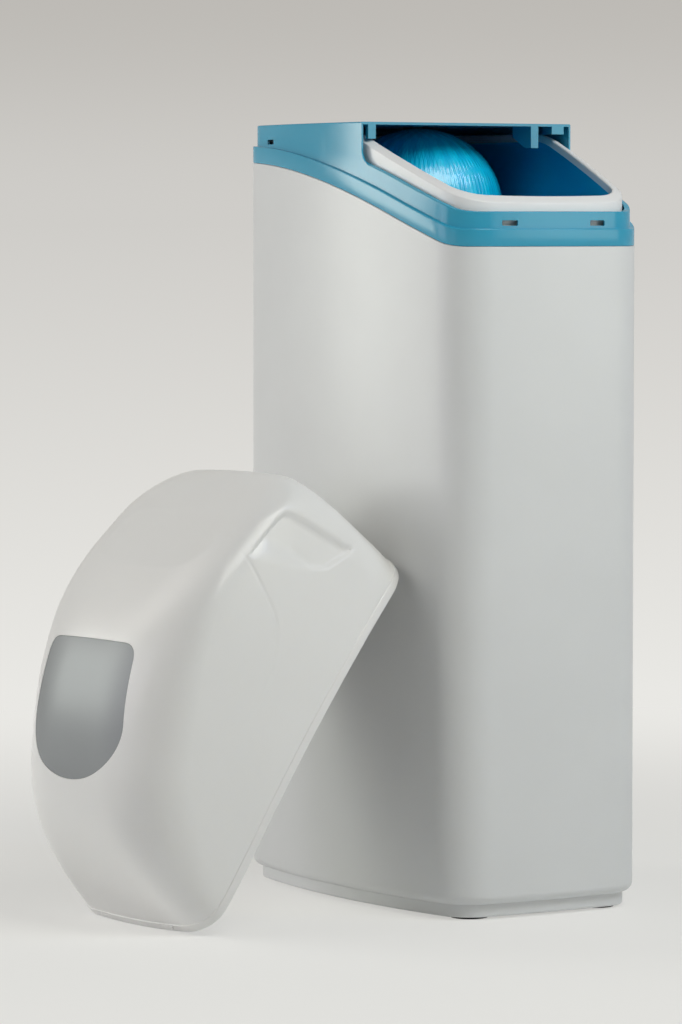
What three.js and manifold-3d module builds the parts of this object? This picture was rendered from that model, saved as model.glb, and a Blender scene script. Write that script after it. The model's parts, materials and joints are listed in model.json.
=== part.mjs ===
// Cabinet water softener, shown with its lid taken off and leaning on its left side.
// Millimetres, +Z up, front towards -Y, origin on the floor under the middle of the base.
// A tall white cabinet ends in an S-shaped top edge, high at the back and low in front. A stepped
// collar with a hood over its back half follows that edge, and the lid comes down on the collar's
// step. Inside stand a brine tank, a pressure vessel with its neck down, and the control valve
// behind the vessel's shoulder, under the hood.
import * as THREE from 'three';
import { mergeVertices } from 'three/addons/utils/BufferGeometryUtils.js';
import Module from 'manifold-3d';

const wasm = await Module();
wasm.setup();

const gap = 0.3;      // clearance between neighbouring solids
const bite = 1;       // how far two joined solids run into each other
const overrun = 6;    // how far a cutting solid runs past the face that it cuts

// The cabinet's plan is a rounded rectangle whose four sides bow outwards.
const cabinet = {
  width: 325, depth: 520, corner: 58, sideBow: 1150, endBow: 1200, wall: 4,
  plinthInset: 12, plinthTop: 19, edge: 12, plinthEdge: 3, footHeight: 3, floor: 6,
  bearingRadius: 62, portMargin: 9, portProud: 1.5,
};
const band = {
  wall: 3, stepHeight: 21, stepInset: 5.5, topHeight: 42, edge: 2, upperWall: 2.5,
  skirtDepth: 25, skirtGap: 0.4, lipInset: 12.6, lipHeight: 2.6,
};
const hood = {
  front: 62, roof: 967, roofWall: 3.3, edge: 1.8, fillet: 18,
  bracketInset: 61.5, bracketWidth: 11, bracketLength: 41, bracketDrop: 27, bracketFoot: 14, bracketHeel: 14,
  ribInset: 22.5, ribWidth: 11, ribDrop: 17.5, ribDepth: 6,
  bossInset: 26.5, bossWidth: 18, bossDrop: 9.5, bossDepth: 20,
};
// How far each place in the upper half lies below the hood's roof, and those of the lid above it
const drop = {
  crestFront: 152, crestRear: 47, rimFront: 102.5, rimRear: 15, apex: 5.2, riser: 47, valve: 87,
  well: 183, safety: 213, floatRod: 237, overflow: 207, box: 77,
};
const lift = { lidTop: 189, grip: 116, pane: 122 };
// How far each place lies in front of the back's middle
const ahead = { valve: 70, well: 97, box: 89, sideHole: 88, grip: 95 };
const back = cabinet.depth / 2;
// How far the brine well stands inside the middle of the right side
const inward = { well: 76.5 };
// The S-curve of the cabinet's top edge, from front to back.
const crest = {
  front: hood.roof - drop.crestFront, rear: hood.roof - drop.crestRear,
  start: 12, frontRadius: 90, rearRadius: 1100, slope: 20,
};
const slot = { spread: 64, width: 22, height: 6.4, rise: 28 };
const sideHole = { y: back - ahead.sideHole, width: 19, height: 6, rise: 28 };
const tank = { inset: 17, wall: 3, floor: 4 };
// The white rim has its own S-curve, which keeps rising as it goes under the hood.
const rim = {
  front: hood.roof - drop.rimFront, rear: hood.roof - drop.rimRear,
  start: -3.4, frontRadius: 50, rearRadius: 120, slope: 21.3,
  inset: 13.5, width: 13, corner: 70, cone: 3.5, web: 6, skirt: 32, innerSkirt: 14, channelSlack: 0.3,
};
const valve = {
  y: back - ahead.valve, z: hood.roof - drop.valve, radius: 26, length: 130, bore: 17, blindWall: 6,
  portSpread: 36, bossRadius: 17, bossEnd: 36, bossBore: 9, legSpread: 22, legRadius: 13, legEnd: 42,
};
const vessel = {
  valveClearance: 10.4, radius: 105, apex: hood.roof - drop.apex, dome: 98, wall: 4,
  base: 158, baseDome: 80, standInset: 6,
  neck: 36, neckBore: 30, neckEnd: 62,
};
const vesselY = valve.y - valve.radius - vessel.valveClearance - vessel.radius;
const stand = { radius: vessel.radius - vessel.standInset, wall: 6, height: 98, archRadius: 44 };
const adapter = {
  flange: 44, body: 33, bottom: 31, flangeTop: 59, flangeHeight: 7, port: 10, portBore: 6, spread: 22,
  portLength: 62, spigotLength: 18, pipeBend: 25,
};
const riser = { radius: 12, wall: 2, bottom: 68, top: hood.roof - drop.riser };
const strainer = {
  radius: 26, lowerHeight: 30, upperHeight: 36, upperDepth: 24, grooves: 2, groove: 3, grooveDepth: 3,
};
const stub = { radius: 12, bore: 8.6, spigot: 14, collar: 18, outside: 30 };
const nut = { flats: 34, thickness: 10, seal: 2, sealRadius: 17 };
const drain = {
  radius: 7, bore: 4, wall: 3, spigot: 10, outside: 24, neck: 6, barbs: 3, barb: 1.4, barbShare: 0.9,
  collar: 11, collarLength: 3,
};
const spool = {
  cageWall: 4, ring: 3, rings: 4, land: 12.4, lands: 4, stem: 7, length: 76, rod: 4, rodReach: 92,
};
const cap = { thickness: 8, flange: 24 };
const drive = {
  plate: 3, plateGap: 5, teeth: 32, pinionTeeth: 8, module: 1.62, gearWidth: 6,
  toothShares: [0.33, 0.12], addendumShare: 0.85, dedendumShare: 1.15, hub: 9, hubWidth: 2.4,
  shaft: 2.5, motorRadius: 15, motorLength: 15, pillar: 3.5, pillarSpread: 19, pillarRise: 46, margin: 6,
};
const bracket = { width: 112, height: 96, thickness: 3 };
const injector = {
  x: 44, boss: 10, bossTop: 35, bore: 6, plug: 8, plugHeight: 2, head: 16, headHeight: 7, spigot: 9,
};
const brinePort = { x: 50, boss: 8, end: 38, bore: 3 };
const well = {
  x: cabinet.width / 2 - inward.well, y: back - ahead.well, radius: 27, wall: 2.4,
  top: hood.roof - drop.well, slots: 4, slot: 3.4, slotPitch: 18, slotRise: 22,
};
const wellCap = { thickness: 3, skirt: 9, lip: 2.6, hole: 5.6, edge: 1 };
const safety = {
  radius: 13, height: 40, top: hood.roof - drop.safety, inset: 7,
  pickup: 4, pickupOffset: 13, foot: 9, footHeight: 36,
};
const float = {
  radius: 12, height: 46, bottom: 420, rod: 2, rodTop: hood.roof - drop.floatRod, offset: -7, travel: 22,
};
const brineLine = { radius: 4.5, bore: 2.5, bend: 12, drop: 14 };
const overflow = {
  x: -54, z: hood.roof - drop.overflow, radius: 10, bore: 7.5, inside: 26, drop: 24, outside: 26,
  flats: 30, nut: 7,
  collar: 14, collarLength: 3, bend: 12,
};
const grid = {
  z: 118, thickness: 5, clearance: 2.5, slotWidth: 3.4, lengthShare: 0.5556, pitch: 26, slotStart: 13,
  slotMargin: 20,
  leg: 7, legInset: 44, legSide: 14,
};
const box = {
  valveGap: 5, y: back - ahead.box, z: hood.roof - drop.box, width: 42, depth: 48, height: 74,
  wall: 2.2, cover: 3, board: 1.8, relay: 10,
  lug: 12, lugWall: 6,
};
const boxX = valve.length / 2 + box.valveGap + box.width / 2;
const inlet = {
  x: -74, z: hood.roof - drop.valve, radius: 7, bore: 4.2, collar: 11, collarLength: 3, outside: 5,
};
const foot = { radius: 24, inset: 50 };
const screw = { x: 62, drop: 13, head: 4.6, headHeight: 2.4, shank: 2, hole: 2.3, blind: 1.6 };

// The lid in its closed place. Each level gives the shell's height above the cabinet's front crest
// as a share of the lid's height, and where its front, back and sides stand as shares of the
// cabinet's half depth and half width, with its corner radius as a share of the cabinet's.
const lid = {
  top: hood.roof + lift.lidTop, wall: 2.5, foot: 11, footWall: 4.6, groove: 1, seat: 0.3,
  hookWidth: 20, hookHeight: 4, hookReach: 4, hookPlay: 1, gripProud: 5.5,
};
// The finger grips are the parts of two leaning ellipsoids that reach into the lid's sides.
const grip = {
  x: cabinet.width / 2 + lid.gripProud, y: back - ahead.grip, z: hood.roof + lift.grip,
  width: 48, length: 108, height: 92, turn: -30,
};
const lidLevelShares = [
  { height: -0.18, front: 1.000, rear: 1.000, side: 1.000, corner: 1.00, frontCorner: 1.00 },
  { height: 0.20, front: 0.990, rear: 1.000, side: 1.000, corner: 1.02, frontCorner: 1.12 },
  { height: 0.36, front: 0.968, rear: 0.998, side: 0.998, corner: 1.08, frontCorner: 1.42 },
  { height: 0.455, front: 0.936, rear: 0.988, side: 0.994, corner: 1.14, frontCorner: 1.58 },
  { height: 0.56, front: 0.871, rear: 0.972, side: 0.988, corner: 1.22, frontCorner: 1.74 },
  { height: 0.69, front: 0.725, rear: 0.946, side: 0.977, corner: 1.28, frontCorner: 1.92 },
  { height: 0.81, front: 0.556, rear: 0.912, side: 0.964, corner: 1.32, frontCorner: 2.05 },
  { height: 0.88, front: 0.425, rear: 0.884, side: 0.948, corner: 1.34, frontCorner: 2.08 },
  { height: 0.93, front: 0.310, rear: 0.845, side: 0.920, corner: 1.32, frontCorner: 2.05 },
  { height: 0.965, front: 0.180, rear: 0.770, side: 0.868, corner: 1.20, frontCorner: 1.90 },
  { height: 0.985, front: 0.040, rear: 0.670, side: 0.800, corner: 0.95, frontCorner: 1.60 },
  { height: 1.00, front: -0.130, rear: 0.500, side: 0.660, corner: 0.55, frontCorner: 0.85 },
];
// The pane in the lid's front slope, seen square to that slope: a wide shield, rounded below, whose
// middle stands at x, y, z. Above and below are its reaches up and down the slope from there.
const pane = {
  x: -7, y: -140, z: hood.roof + lift.pane, tilt: 45, width: 188, topWidth: 180,
  above: 82, below: 84, bend: 15, corner: 24, arch: 2, reach: 90,
};
// How the lid leans: its own up direction, its turn about the vertical, and its place along Y.
const lean = { tilt: 42.7, turn: 5.6, y: -46.5 };

const sides = { side: 3, end: 3, corner: 5, settle: 20, rod: 12, small: 8, vessel: 24, hose: 8 };
const curveSteps = { dome: 5, arc: 3, slope: 6, bend: 3, pane: 5 };

const colours = {
  white: new THREE.MeshStandardMaterial({ color: 0xd9dddb, roughness: 0.45 }),
  teal: new THREE.MeshStandardMaterial({ color: 0x6aaac4, roughness: 0.4 }),
  rimWhite: new THREE.MeshStandardMaterial({ color: 0xe2e2e0, roughness: 0.4 }),
  tankBlue: new THREE.MeshStandardMaterial({ color: 0x1a4d74, roughness: 0.45 }),
  vesselBlue: new THREE.MeshStandardMaterial({ color: 0x008ccf, roughness: 0.2 }),
  lidWhite: new THREE.MeshStandardMaterial({ color: 0xd6d9d8, roughness: 0.4 }),
  smoke: new THREE.MeshStandardMaterial({ color: 0x929795, roughness: 0.15 }),
  black: new THREE.MeshStandardMaterial({ color: 0x22262a, roughness: 0.5 }),
  grey: new THREE.MeshStandardMaterial({ color: 0x868c90, roughness: 0.5 }),
  natural: new THREE.MeshStandardMaterial({ color: 0xe7e4da, roughness: 0.5 }),
  rubber: new THREE.MeshStandardMaterial({ color: 0x2b2b2b, roughness: 0.85 }),
  steel: new THREE.MeshStandardMaterial({ color: 0xb6b9bb, roughness: 0.3, metalness: 1 }),
  green: new THREE.MeshStandardMaterial({ color: 0x1f6b45, roughness: 0.5 }),
};

// Solids and booleans

const point = (x, y, z) => new THREE.Vector3(x, y, z);

function solidOf(geometry) {
  const bare = geometry.clone();
  bare.deleteAttribute('normal');
  bare.deleteAttribute('uv');
  const merged = mergeVertices(bare);
  const mesh = new wasm.Mesh({
    numProp: 3,
    vertProperties: new Float32Array(merged.attributes.position.array),
    triVerts: new Uint32Array(merged.index.array),
  });
  return new wasm.Manifold(mesh);
}

function geometryOf(solid) {
  const mesh = solid.getMesh();
  const geometry = new THREE.BufferGeometry();
  const places = new THREE.BufferAttribute(new Float32Array(mesh.vertProperties), mesh.numProp);
  geometry.setAttribute('position', places);
  geometry.setIndex(new THREE.BufferAttribute(new Uint32Array(mesh.triVerts), 1));
  geometry.computeVertexNormals();
  return geometry;
}

const join = (...solids) => solids.reduce((sum, next) => sum.add(next));
const cut = (base, ...tools) => tools.reduce((rest, tool) => rest.subtract(tool), base);
const common = (a, b) => a.intersect(b);

// A closed skin over a stack of rings with equal numbers of points, the first and last ones capped.
function loft(rings) {
  const count = rings[0].length;
  const points = rings.flat();
  const index = [];
  for (let level = 0; level + 1 < rings.length; level += 1) {
    for (let i = 0; i < count; i += 1) {
      const a = level * count + i;
      const b = level * count + (i + 1) % count;
      index.push(a, b, b + count, a, b + count, a + count);
    }
  }
  [0, rings.length - 1].forEach((level) => {
    const centre = rings[level].reduce((sum, p) => sum.add(p), new THREE.Vector3()).divideScalar(count);
    const hub = points.push(centre) - 1;
    for (let i = 0; i < count; i += 1) {
      const a = level * count + i;
      const b = level * count + (i + 1) % count;
      if (level === 0) index.push(hub, b, a);
      else index.push(hub, a, b);
    }
  });
  const geometry = new THREE.BufferGeometry().setFromPoints(points);
  geometry.setIndex(index);
  return solidOf(geometry);
}

// A skin that closes on itself: a cross-section carried once round a closed path.
function hoop(sections) {
  const around = sections.length;
  const count = sections[0].length;
  const index = [];
  for (let s = 0; s < around; s += 1) {
    for (let i = 0; i < count; i += 1) {
      const a = s * count + i;
      const b = s * count + (i + 1) % count;
      const c = ((s + 1) % around) * count + i;
      const d = ((s + 1) % around) * count + (i + 1) % count;
      index.push(a, c, d, a, d, b);
    }
  }
  const geometry = new THREE.BufferGeometry().setFromPoints(sections.flat());
  geometry.setIndex(index);
  return solidOf(geometry);
}

function block(x0, x1, y0, y1, z0, z1) {
  const geometry = new THREE.BoxGeometry(x1 - x0, y1 - y0, z1 - z0);
  geometry.translate((x0 + x1) / 2, (y0 + y1) / 2, (z0 + z1) / 2);
  return solidOf(geometry);
}

// A rod along an axis, between two places on it, centred on a point of the other two coordinates.
function rod(axis, radius, from, to, centre, segments = sides.rod) {
  const geometry = new THREE.CylinderGeometry(radius, radius, to - from, segments);
  if (axis === 'x') geometry.rotateZ(-Math.PI / 2);
  if (axis === 'z') geometry.rotateX(Math.PI / 2);
  const middle = (from + to) / 2;
  geometry.translate(
    axis === 'x' ? middle : centre.x,
    axis === 'y' ? middle : centre.y,
    axis === 'z' ? middle : centre.z,
  );
  return solidOf(geometry);
}

// The corner radius of a bore whose flats clear what turns or lies in it
const clearing = (radius, segments = sides.rod) => (radius + gap) / Math.cos(Math.PI / segments);

function hexagon(axis, flats, from, to, centre) {
  return rod(axis, flats / 2 / Math.cos(Math.PI / 6), from, to, centre, 6);
}

// A solid of revolution about a vertical line; profile points are [radius, height].
function turned(profile, centre, segments = sides.rod) {
  let area = 0;
  profile.forEach(([r, z], i) => {
    const [nextR, nextZ] = profile[(i + 1) % profile.length];
    area += r * nextZ - nextR * z;
  });
  const ordered = area > 0 ? profile : [...profile].reverse();
  const points = [...ordered, ordered[0]].map(([r, z]) => new THREE.Vector2(r, z));
  const geometry = new THREE.LatheGeometry(points, segments);
  geometry.rotateX(Math.PI / 2);
  geometry.translate(centre.x, centre.y, 0);
  return solidOf(geometry);
}

function upright(points, z0, z1) {
  const shape = new THREE.Shape(points);
  const geometry = new THREE.ExtrudeGeometry(shape, { depth: z1 - z0, bevelEnabled: false });
  geometry.translate(0, 0, z0);
  return solidOf(geometry);
}

// A prism across the cabinet from an outline in the side view, given as [y, z] points.
function sidePrism(outline, x0, x1) {
  const shape = new THREE.Shape(outline.map(([y, z]) => new THREE.Vector2(y, z)));
  const geometry = new THREE.ExtrudeGeometry(shape, { depth: x1 - x0, bevelEnabled: false });
  const turn = new THREE.Matrix4().makeBasis(
    point(0, 1, 0), point(0, 0, 1), point(1, 0, 0),
  );
  geometry.applyMatrix4(turn);
  geometry.translate(x0, 0, 0);
  return solidOf(geometry);
}

// A round bar through corner points, with each corner bent to a radius.
function bent(corners, radius, bend, segments = sides.hose) {
  const stations = [{ at: corners[0], along: corners[1].clone().sub(corners[0]).normalize() }];
  for (let i = 1; i + 1 < corners.length; i += 1) {
    const before = corners[i].clone().sub(corners[i - 1]).normalize();
    const after = corners[i + 1].clone().sub(corners[i]).normalize();
    const angle = before.angleTo(after);
    const start = corners[i].clone().addScaledVector(before, -bend * Math.tan(angle / 2));
    const inward = after.clone().addScaledVector(before, -after.dot(before)).normalize();
    const centre = start.clone().addScaledVector(inward, bend);
    for (let step = 0; step <= curveSteps.bend; step += 1) {
      const turn = angle * step / curveSteps.bend;
      const out = inward.clone().multiplyScalar(-bend * Math.cos(turn));
      stations.push({
        at: centre.clone().add(out).addScaledVector(before, bend * Math.sin(turn)),
        along: before.clone().multiplyScalar(Math.cos(turn)).addScaledVector(inward, Math.sin(turn)),
      });
    }
  }
  const last = corners.length - 1;
  stations.push({ at: corners[last], along: corners[last].clone().sub(corners[last - 1]).normalize() });
  const spare = Math.abs(stations[0].along.z) < 0.9 ? point(0, 0, 1) : point(1, 0, 0);
  let across = new THREE.Vector3().crossVectors(stations[0].along, spare).normalize();
  const rings = stations.map(({ at, along }) => {
    across = across.clone().addScaledVector(along, -across.dot(along)).normalize();
    const up = new THREE.Vector3().crossVectors(along, across);
    return Array.from({ length: segments }, (_, i) => {
      const angle = 2 * Math.PI * i / segments;
      const out = across.clone().multiplyScalar(radius * Math.cos(angle));
      return at.clone().add(out).addScaledVector(up, radius * Math.sin(angle));
    });
  });
  return loft(rings);
}

function hose(corners, radius, bore, bend) {
  const end = corners.length - 1;
  const first = corners[0].clone().sub(corners[1]).setLength(overrun).add(corners[0]);
  const last = corners[end].clone().sub(corners[end - 1]).setLength(overrun).add(corners[end]);
  const inner = [first, ...corners.slice(1, end), last];
  return cut(bent(corners, radius, bend), bent(inner, bore, bend));
}

// The bowed plan

const steps = (count) => Array.from({ length: count }, (_, i) => i / count);
const evenMarks = steps(2 * sides.side).map((share) => 2 * share - 1);

// A closed ring of points of a rounded rectangle with bowed sides. The side arcs and the end arcs
// are centred on the ring's own axes, and each corner arc touches its two neighbours. The marks say
// where the points of a side arc lie, from -1 at its front end to 1 at its rear end.
function bowedRing({
  halfWidth, halfDepth, corner, frontCorner = corner, inset = 0, middle = 0, marks = evenMarks,
}) {
  const a = halfWidth - inset;
  const b = halfDepth - inset;
  const sideRadius = cabinet.sideBow - inset;
  const endRadius = cabinet.endBow - inset;
  // The centre of a corner arc, and the angles at which it leaves the side arc and meets the end arc
  const cornerArc = (radius) => {
    let x = a - radius;
    let y = b - radius;
    for (let i = 0; i < sides.settle; i += 1) {
      x = a - sideRadius + Math.sqrt((sideRadius - radius) ** 2 - y ** 2);
      y = b - endRadius + Math.sqrt((endRadius - radius) ** 2 - x ** 2);
    }
    const fromSide = Math.atan2(y, x - (a - sideRadius));
    const toEnd = Math.atan2(y - (b - endRadius), x);
    return { x, y, radius, fromSide, toEnd };
  };
  const front = cornerArc(frontCorner - inset);
  const rear = cornerArc(corner - inset);
  const right = [];
  const sweep = (cx, cy, r, from, to, shares) => shares.forEach((share) => {
    const angle = from + (to - from) * share;
    right.push([cx + r * Math.cos(angle), cy + r * Math.sin(angle)]);
  });
  const sideAngle = (mark) => (mark < 0 ? front.fromSide : rear.fromSide) * mark;
  sweep(0, endRadius - b, endRadius, -Math.PI / 2, -front.toEnd, steps(sides.end));
  sweep(front.x, -front.y, front.radius, -front.toEnd, -front.fromSide, steps(sides.corner));
  marks.forEach((mark) => sweep(a - sideRadius, 0, sideRadius, sideAngle(mark), sideAngle(mark), [0]));
  sweep(rear.x, rear.y, rear.radius, rear.fromSide, rear.toEnd, steps(sides.corner));
  sweep(0, b - endRadius, endRadius, rear.toEnd, Math.PI / 2, steps(sides.end));
  const left = right.slice(1).reverse().map(([px, py]) => [-px, py]);
  return [...right, [0, b], ...left].map(([px, py]) => new THREE.Vector2(px, py + middle));
}

const cabinetPlan = { halfWidth: cabinet.width / 2, halfDepth: cabinet.depth / 2 };
const plan = (inset, marks) => bowedRing({ ...cabinetPlan, corner: cabinet.corner, inset, marks });
// The tank and its rim have rounder corners than the cabinet.
const tankPlan = (inset, marks) => bowedRing({
  ...cabinetPlan, corner: rim.corner + rim.inset, inset, marks,
});
const rearFace = (inset, x) => {
  const radius = cabinet.endBow - inset;
  return cabinet.depth / 2 - inset - radius + Math.sqrt(radius ** 2 - x ** 2);
};
const sideFace = (inset, y) => {
  const radius = cabinet.sideBow - inset;
  return cabinet.width / 2 - inset - radius + Math.sqrt(radius ** 2 - y ** 2);
};
const planTube = (outer, inner, z0, z1) => cut(
  upright(plan(outer, crestCurve.marks), z0, z1),
  upright(plan(inner, crestCurve.marks), z0 - overrun, z1 + overrun),
);

// The S-curves: flat in front, a hollow arc, a straight slope, a crowned arc, flat at the back

function sCurve(shape, halfDepth) {
  const angle = THREE.MathUtils.degToRad(shape.slope);
  const fall = (radius) => radius * (1 - Math.cos(angle));
  const arcs = fall(shape.frontRadius) + fall(shape.rearRadius);
  const length = (shape.rear - shape.front - arcs) / Math.sin(angle);
  const y0 = -halfDepth + shape.start;
  const y1 = y0 + shape.frontRadius * Math.sin(angle);
  const y2 = y1 + length * Math.cos(angle);
  const y3 = y2 + shape.rearRadius * Math.sin(angle);
  const z1 = shape.front + fall(shape.frontRadius);
  const at = (y) => {
    if (y <= y0) return [shape.front, 0];
    if (y <= y1) {
      const turn = Math.asin((y - y0) / shape.frontRadius);
      return [shape.front + shape.frontRadius * (1 - Math.cos(turn)), turn];
    }
    if (y <= y2) return [z1 + (y - y1) * Math.tan(angle), angle];
    if (y <= y3) {
      const turn = Math.asin((y3 - y) / shape.rearRadius);
      return [shape.rear - shape.rearRadius * (1 - Math.cos(turn)), turn];
    }
    return [shape.rear, 0];
  };
  // Height above the floor of a line that runs a given distance off the curve, measured square to it.
  const height = (y, offset = 0) => {
    const [z, turn] = at(y);
    return z + offset / Math.cos(turn);
  };
  const line = (from, to, offset = 0) => {
    const marks = [from];
    const add = (start, end, steps) => {
      for (let i = 0; i <= steps; i += 1) marks.push(start + (end - start) * i / steps);
    };
    add(y0, y1, curveSteps.arc);
    add(y2, y3, curveSteps.slope);
    marks.push(to);
    const single = marks.filter((y, i) => marks.indexOf(y) === i);
    const inside = single.filter((y) => y >= from && y <= to).sort((p, q) => p - q);
    return inside.map((y) => [y, height(y, offset)]);
  };
  // The bends of the curve along the plan's side arcs, for rings that have to follow it.
  const sideLength = cabinet.depth / 2 - cabinet.corner;
  const bends = [y1, ...steps(curveSteps.slope).map((share) => y2 + (y3 - y2) * share), y3];
  const marks = [-1, ...bends.map((y) => y / sideLength).filter((share) => Math.abs(share) < 1)];
  return { height, line, angle, marks };
}

const crestCurve = sCurve(crest, cabinet.depth / 2);
const rimCurve = sCurve(rim, cabinet.depth / 2);

// A solid below or above a line at an offset from an S-curve, wide enough to cut anything here.
const reachX = cabinet.width / 2 + overrun;
const reachY = cabinet.depth / 2 + overrun;
const below = (curve, offset) => sidePrism(
  [...curve.line(-reachY, reachY, offset), [reachY, -overrun], [-reachY, -overrun]], -reachX, reachX,
);
const above = (curve, offset) => sidePrism(
  [
    ...curve.line(-reachY, reachY, offset).reverse(),
    [-reachY, lid.top + overrun], [reachY, lid.top + overrun],
  ],
  -reachX, reachX,
);

// A section of [inset, offset] points carried round the plan along an S-curve.
function carried(section, curve, ringAt) {
  const rings = section.map(([inset]) => ringAt(inset, curve.marks));
  const around = rings[0].map((_, i) => section.map(([, offset], j) => {
    const p = rings[j][i];
    return point(p.x, p.y, curve.height(p.y, offset));
  }));
  return hoop(around);
}

// Cabinet and feet

function cabinetBody() {
  const arc = (radius, inset, z, from, to, steps) => Array.from({ length: steps + 1 }, (_, i) => {
    const angle = THREE.MathUtils.degToRad(from + (to - from) * i / steps);
    return [inset + radius * (1 - Math.sin(angle)), z - radius * Math.cos(angle)];
  });
  const levels = [
    ...arc(cabinet.plinthEdge, cabinet.plinthInset, cabinet.footHeight + cabinet.plinthEdge, 0, 90, 2),
    [cabinet.plinthInset, cabinet.plinthTop - gap],
    ...arc(cabinet.edge, 0, cabinet.plinthTop + cabinet.edge, 0, 90, curveSteps.arc),
    [0, crest.rear + overrun],
  ];
  const ringAt = (inset) => plan(inset, crestCurve.marks);
  const outside = loft(levels.map(([inset, z]) => ringAt(inset).map((p) => point(p.x, p.y, z))));
  const floorTop = cabinet.plinthTop + cabinet.floor;
  const inside = upright(ringAt(cabinet.wall), floorTop, crest.rear + 2 * overrun);
  const bearing = rod('z', cabinet.bearingRadius, 0, cabinet.footHeight + overrun, point(0, 0, 0));
  const bosses = wallPorts().map(({ x, z, radius }) => rod(
    'y', radius + cabinet.portMargin, rearFace(cabinet.wall, x) + bite, cabinet.depth / 2 + cabinet.portProud,
    point(x, 0, z),
  ));
  const holes = wallPorts().map(({ x, z, radius }) => rod(
    'y', clearing(radius), rearFace(tank.inset, x), cabinet.depth / 2 + overrun, point(x, 0, z),
  ));
  const screwHoles = screwPlaces().map(({ x, z }) => rod(
    'y', screw.hole, rearFace(cabinet.wall, x) - bite, cabinet.depth / 2 + overrun,
    point(x, 0, z), sides.small,
  ));
  const shell = cut(outside, inside, above(crestCurve, -gap));
  return cut(join(shell, bearing, ...bosses), ...holes, ...screwHoles);
}

// Where pipes go through the back wall: place and radius of each
function wallPorts() {
  return [
    { x: -valve.portSpread, z: valve.z, radius: stub.radius },
    { x: valve.portSpread, z: valve.z, radius: stub.radius },
    { x: 0, z: valve.z, radius: drain.radius },
    { x: overflow.x, z: overflow.z, radius: overflow.radius },
    { x: inlet.x, z: inlet.z, radius: inlet.radius },
  ];
}

function screwPlaces() {
  return [-screw.x, screw.x].map((x) => ({ x, z: crest.rear - screw.drop }));
}

function footPad(sx, sy) {
  const x = sx * (sideFace(0, cabinet.depth / 2 - foot.inset) - foot.inset);
  const y = sy * (cabinet.depth / 2 - foot.inset);
  return rod('z', foot.radius, 0, cabinet.footHeight, point(x, y, 0));
}

function frameScrew({ x, z }) {
  const face = rearFace(0, x) + gap;
  const centre = point(x, 0, z);
  const skirtFace = rearFace(cabinet.wall + band.skirtGap + screw.blind, x);
  return join(
    rod('y', screw.head, face, face + screw.headHeight, centre, sides.small),
    rod('y', screw.shank, skirtFace, face + screw.headHeight / 2, centre, sides.small),
  );
}

// Collar and hood in one moulding

function topFrame() {
  const skirtOuter = cabinet.wall + band.skirtGap;
  const inner = band.stepInset + band.upperWall;
  const ledge = band.stepHeight - band.wall;
  const section = [
    [0, 0], [0, band.stepHeight - band.edge], [band.edge, band.stepHeight], [band.stepInset, band.stepHeight],
    [band.stepInset, band.topHeight - band.edge / 2], [band.stepInset + band.edge / 2, band.topHeight],
    [band.lipInset, band.topHeight], [band.lipInset, band.topHeight - band.lipHeight],
    [inner, band.topHeight - band.lipHeight], [inner, -band.skirtDepth], [skirtOuter, -band.skirtDepth],
    [skirtOuter, ledge], [band.wall, ledge], [band.wall, 0],
  ];
  const collar = carried(section, crestCurve, plan);
  const walls = common(planTube(band.stepInset, inner, crest.front, hood.roof), hoodProfile());
  const roofLevels = [
    [band.stepInset, hood.roof - hood.roofWall], [band.stepInset, hood.roof - hood.edge],
    [band.stepInset + hood.edge / 3, hood.roof - hood.edge / 3], [band.stepInset + hood.edge, hood.roof],
  ];
  const whole = loft(roofLevels.map(([inset, z]) => plan(inset).map((p) => point(p.x, p.y, z))));
  const roof = common(whole, block(-reachX, reachX, -hood.front, reachY, crest.front, hood.roof + overrun));
  const trimmedWalls = common(walls, join(whole, upright(plan(0), crest.front, hood.roof - hood.roofWall)));
  const frame = join(collar, trimmedWalls, roof, hoodBracket(), hoodRib(), hoodBoss());
  const front = -cabinet.depth / 2;
  const slots = [-slot.spread, slot.spread].map((x) => block(
    x - slot.width / 2, x + slot.width / 2, front, front + band.lipInset,
    crest.front + slot.rise - slot.height / 2, crest.front + slot.rise + slot.height / 2,
  ));
  const holeZ = crestCurve.height(sideHole.y, sideHole.rise);
  const holes = [-1, 1].map((side) => {
    const x = side * (sideFace(band.stepInset, sideHole.y) - band.upperWall / 2);
    return block(
      x - 2 * band.upperWall, x + 2 * band.upperWall,
      sideHole.y - sideHole.width / 2, sideHole.y + sideHole.width / 2,
      holeZ - sideHole.height / 2, holeZ + sideHole.height / 2,
    );
  });
  const screwHoles = screwPlaces().map(({ x, z }) => rod(
    'y', screw.hole, rearFace(skirtOuter + screw.blind + gap, x), cabinet.depth / 2,
    point(x, 0, z), sides.small,
  ));
  return cut(frame, ...slots, ...holes, ...screwHoles);
}

// Side view of the hood's walls: upright front edge with a fillet where it meets the collar's slope
function hoodProfile() {
  const foot = band.topHeight;
  const angle = crestCurve.angle;
  const centreY = -hood.front - hood.fillet;
  const centreZ = crestCurve.height(centreY, foot) + hood.fillet / Math.cos(angle);
  const tangentY = centreY + hood.fillet * Math.sin(angle);
  const arc = Array.from({ length: curveSteps.arc + 1 }, (_, i) => {
    const turn = -(Math.PI / 2 - angle) * i / curveSteps.arc;
    return [centreY + hood.fillet * Math.cos(turn), centreZ + hood.fillet * Math.sin(turn)];
  });
  const bottom = crestCurve.line(tangentY, reachY, band.stepHeight - band.wall / 2);
  const top = hood.roof + overrun;
  return sidePrism([...bottom, [reachY, top], [-hood.front, top], ...arc], -reachX, reachX);
}

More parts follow.
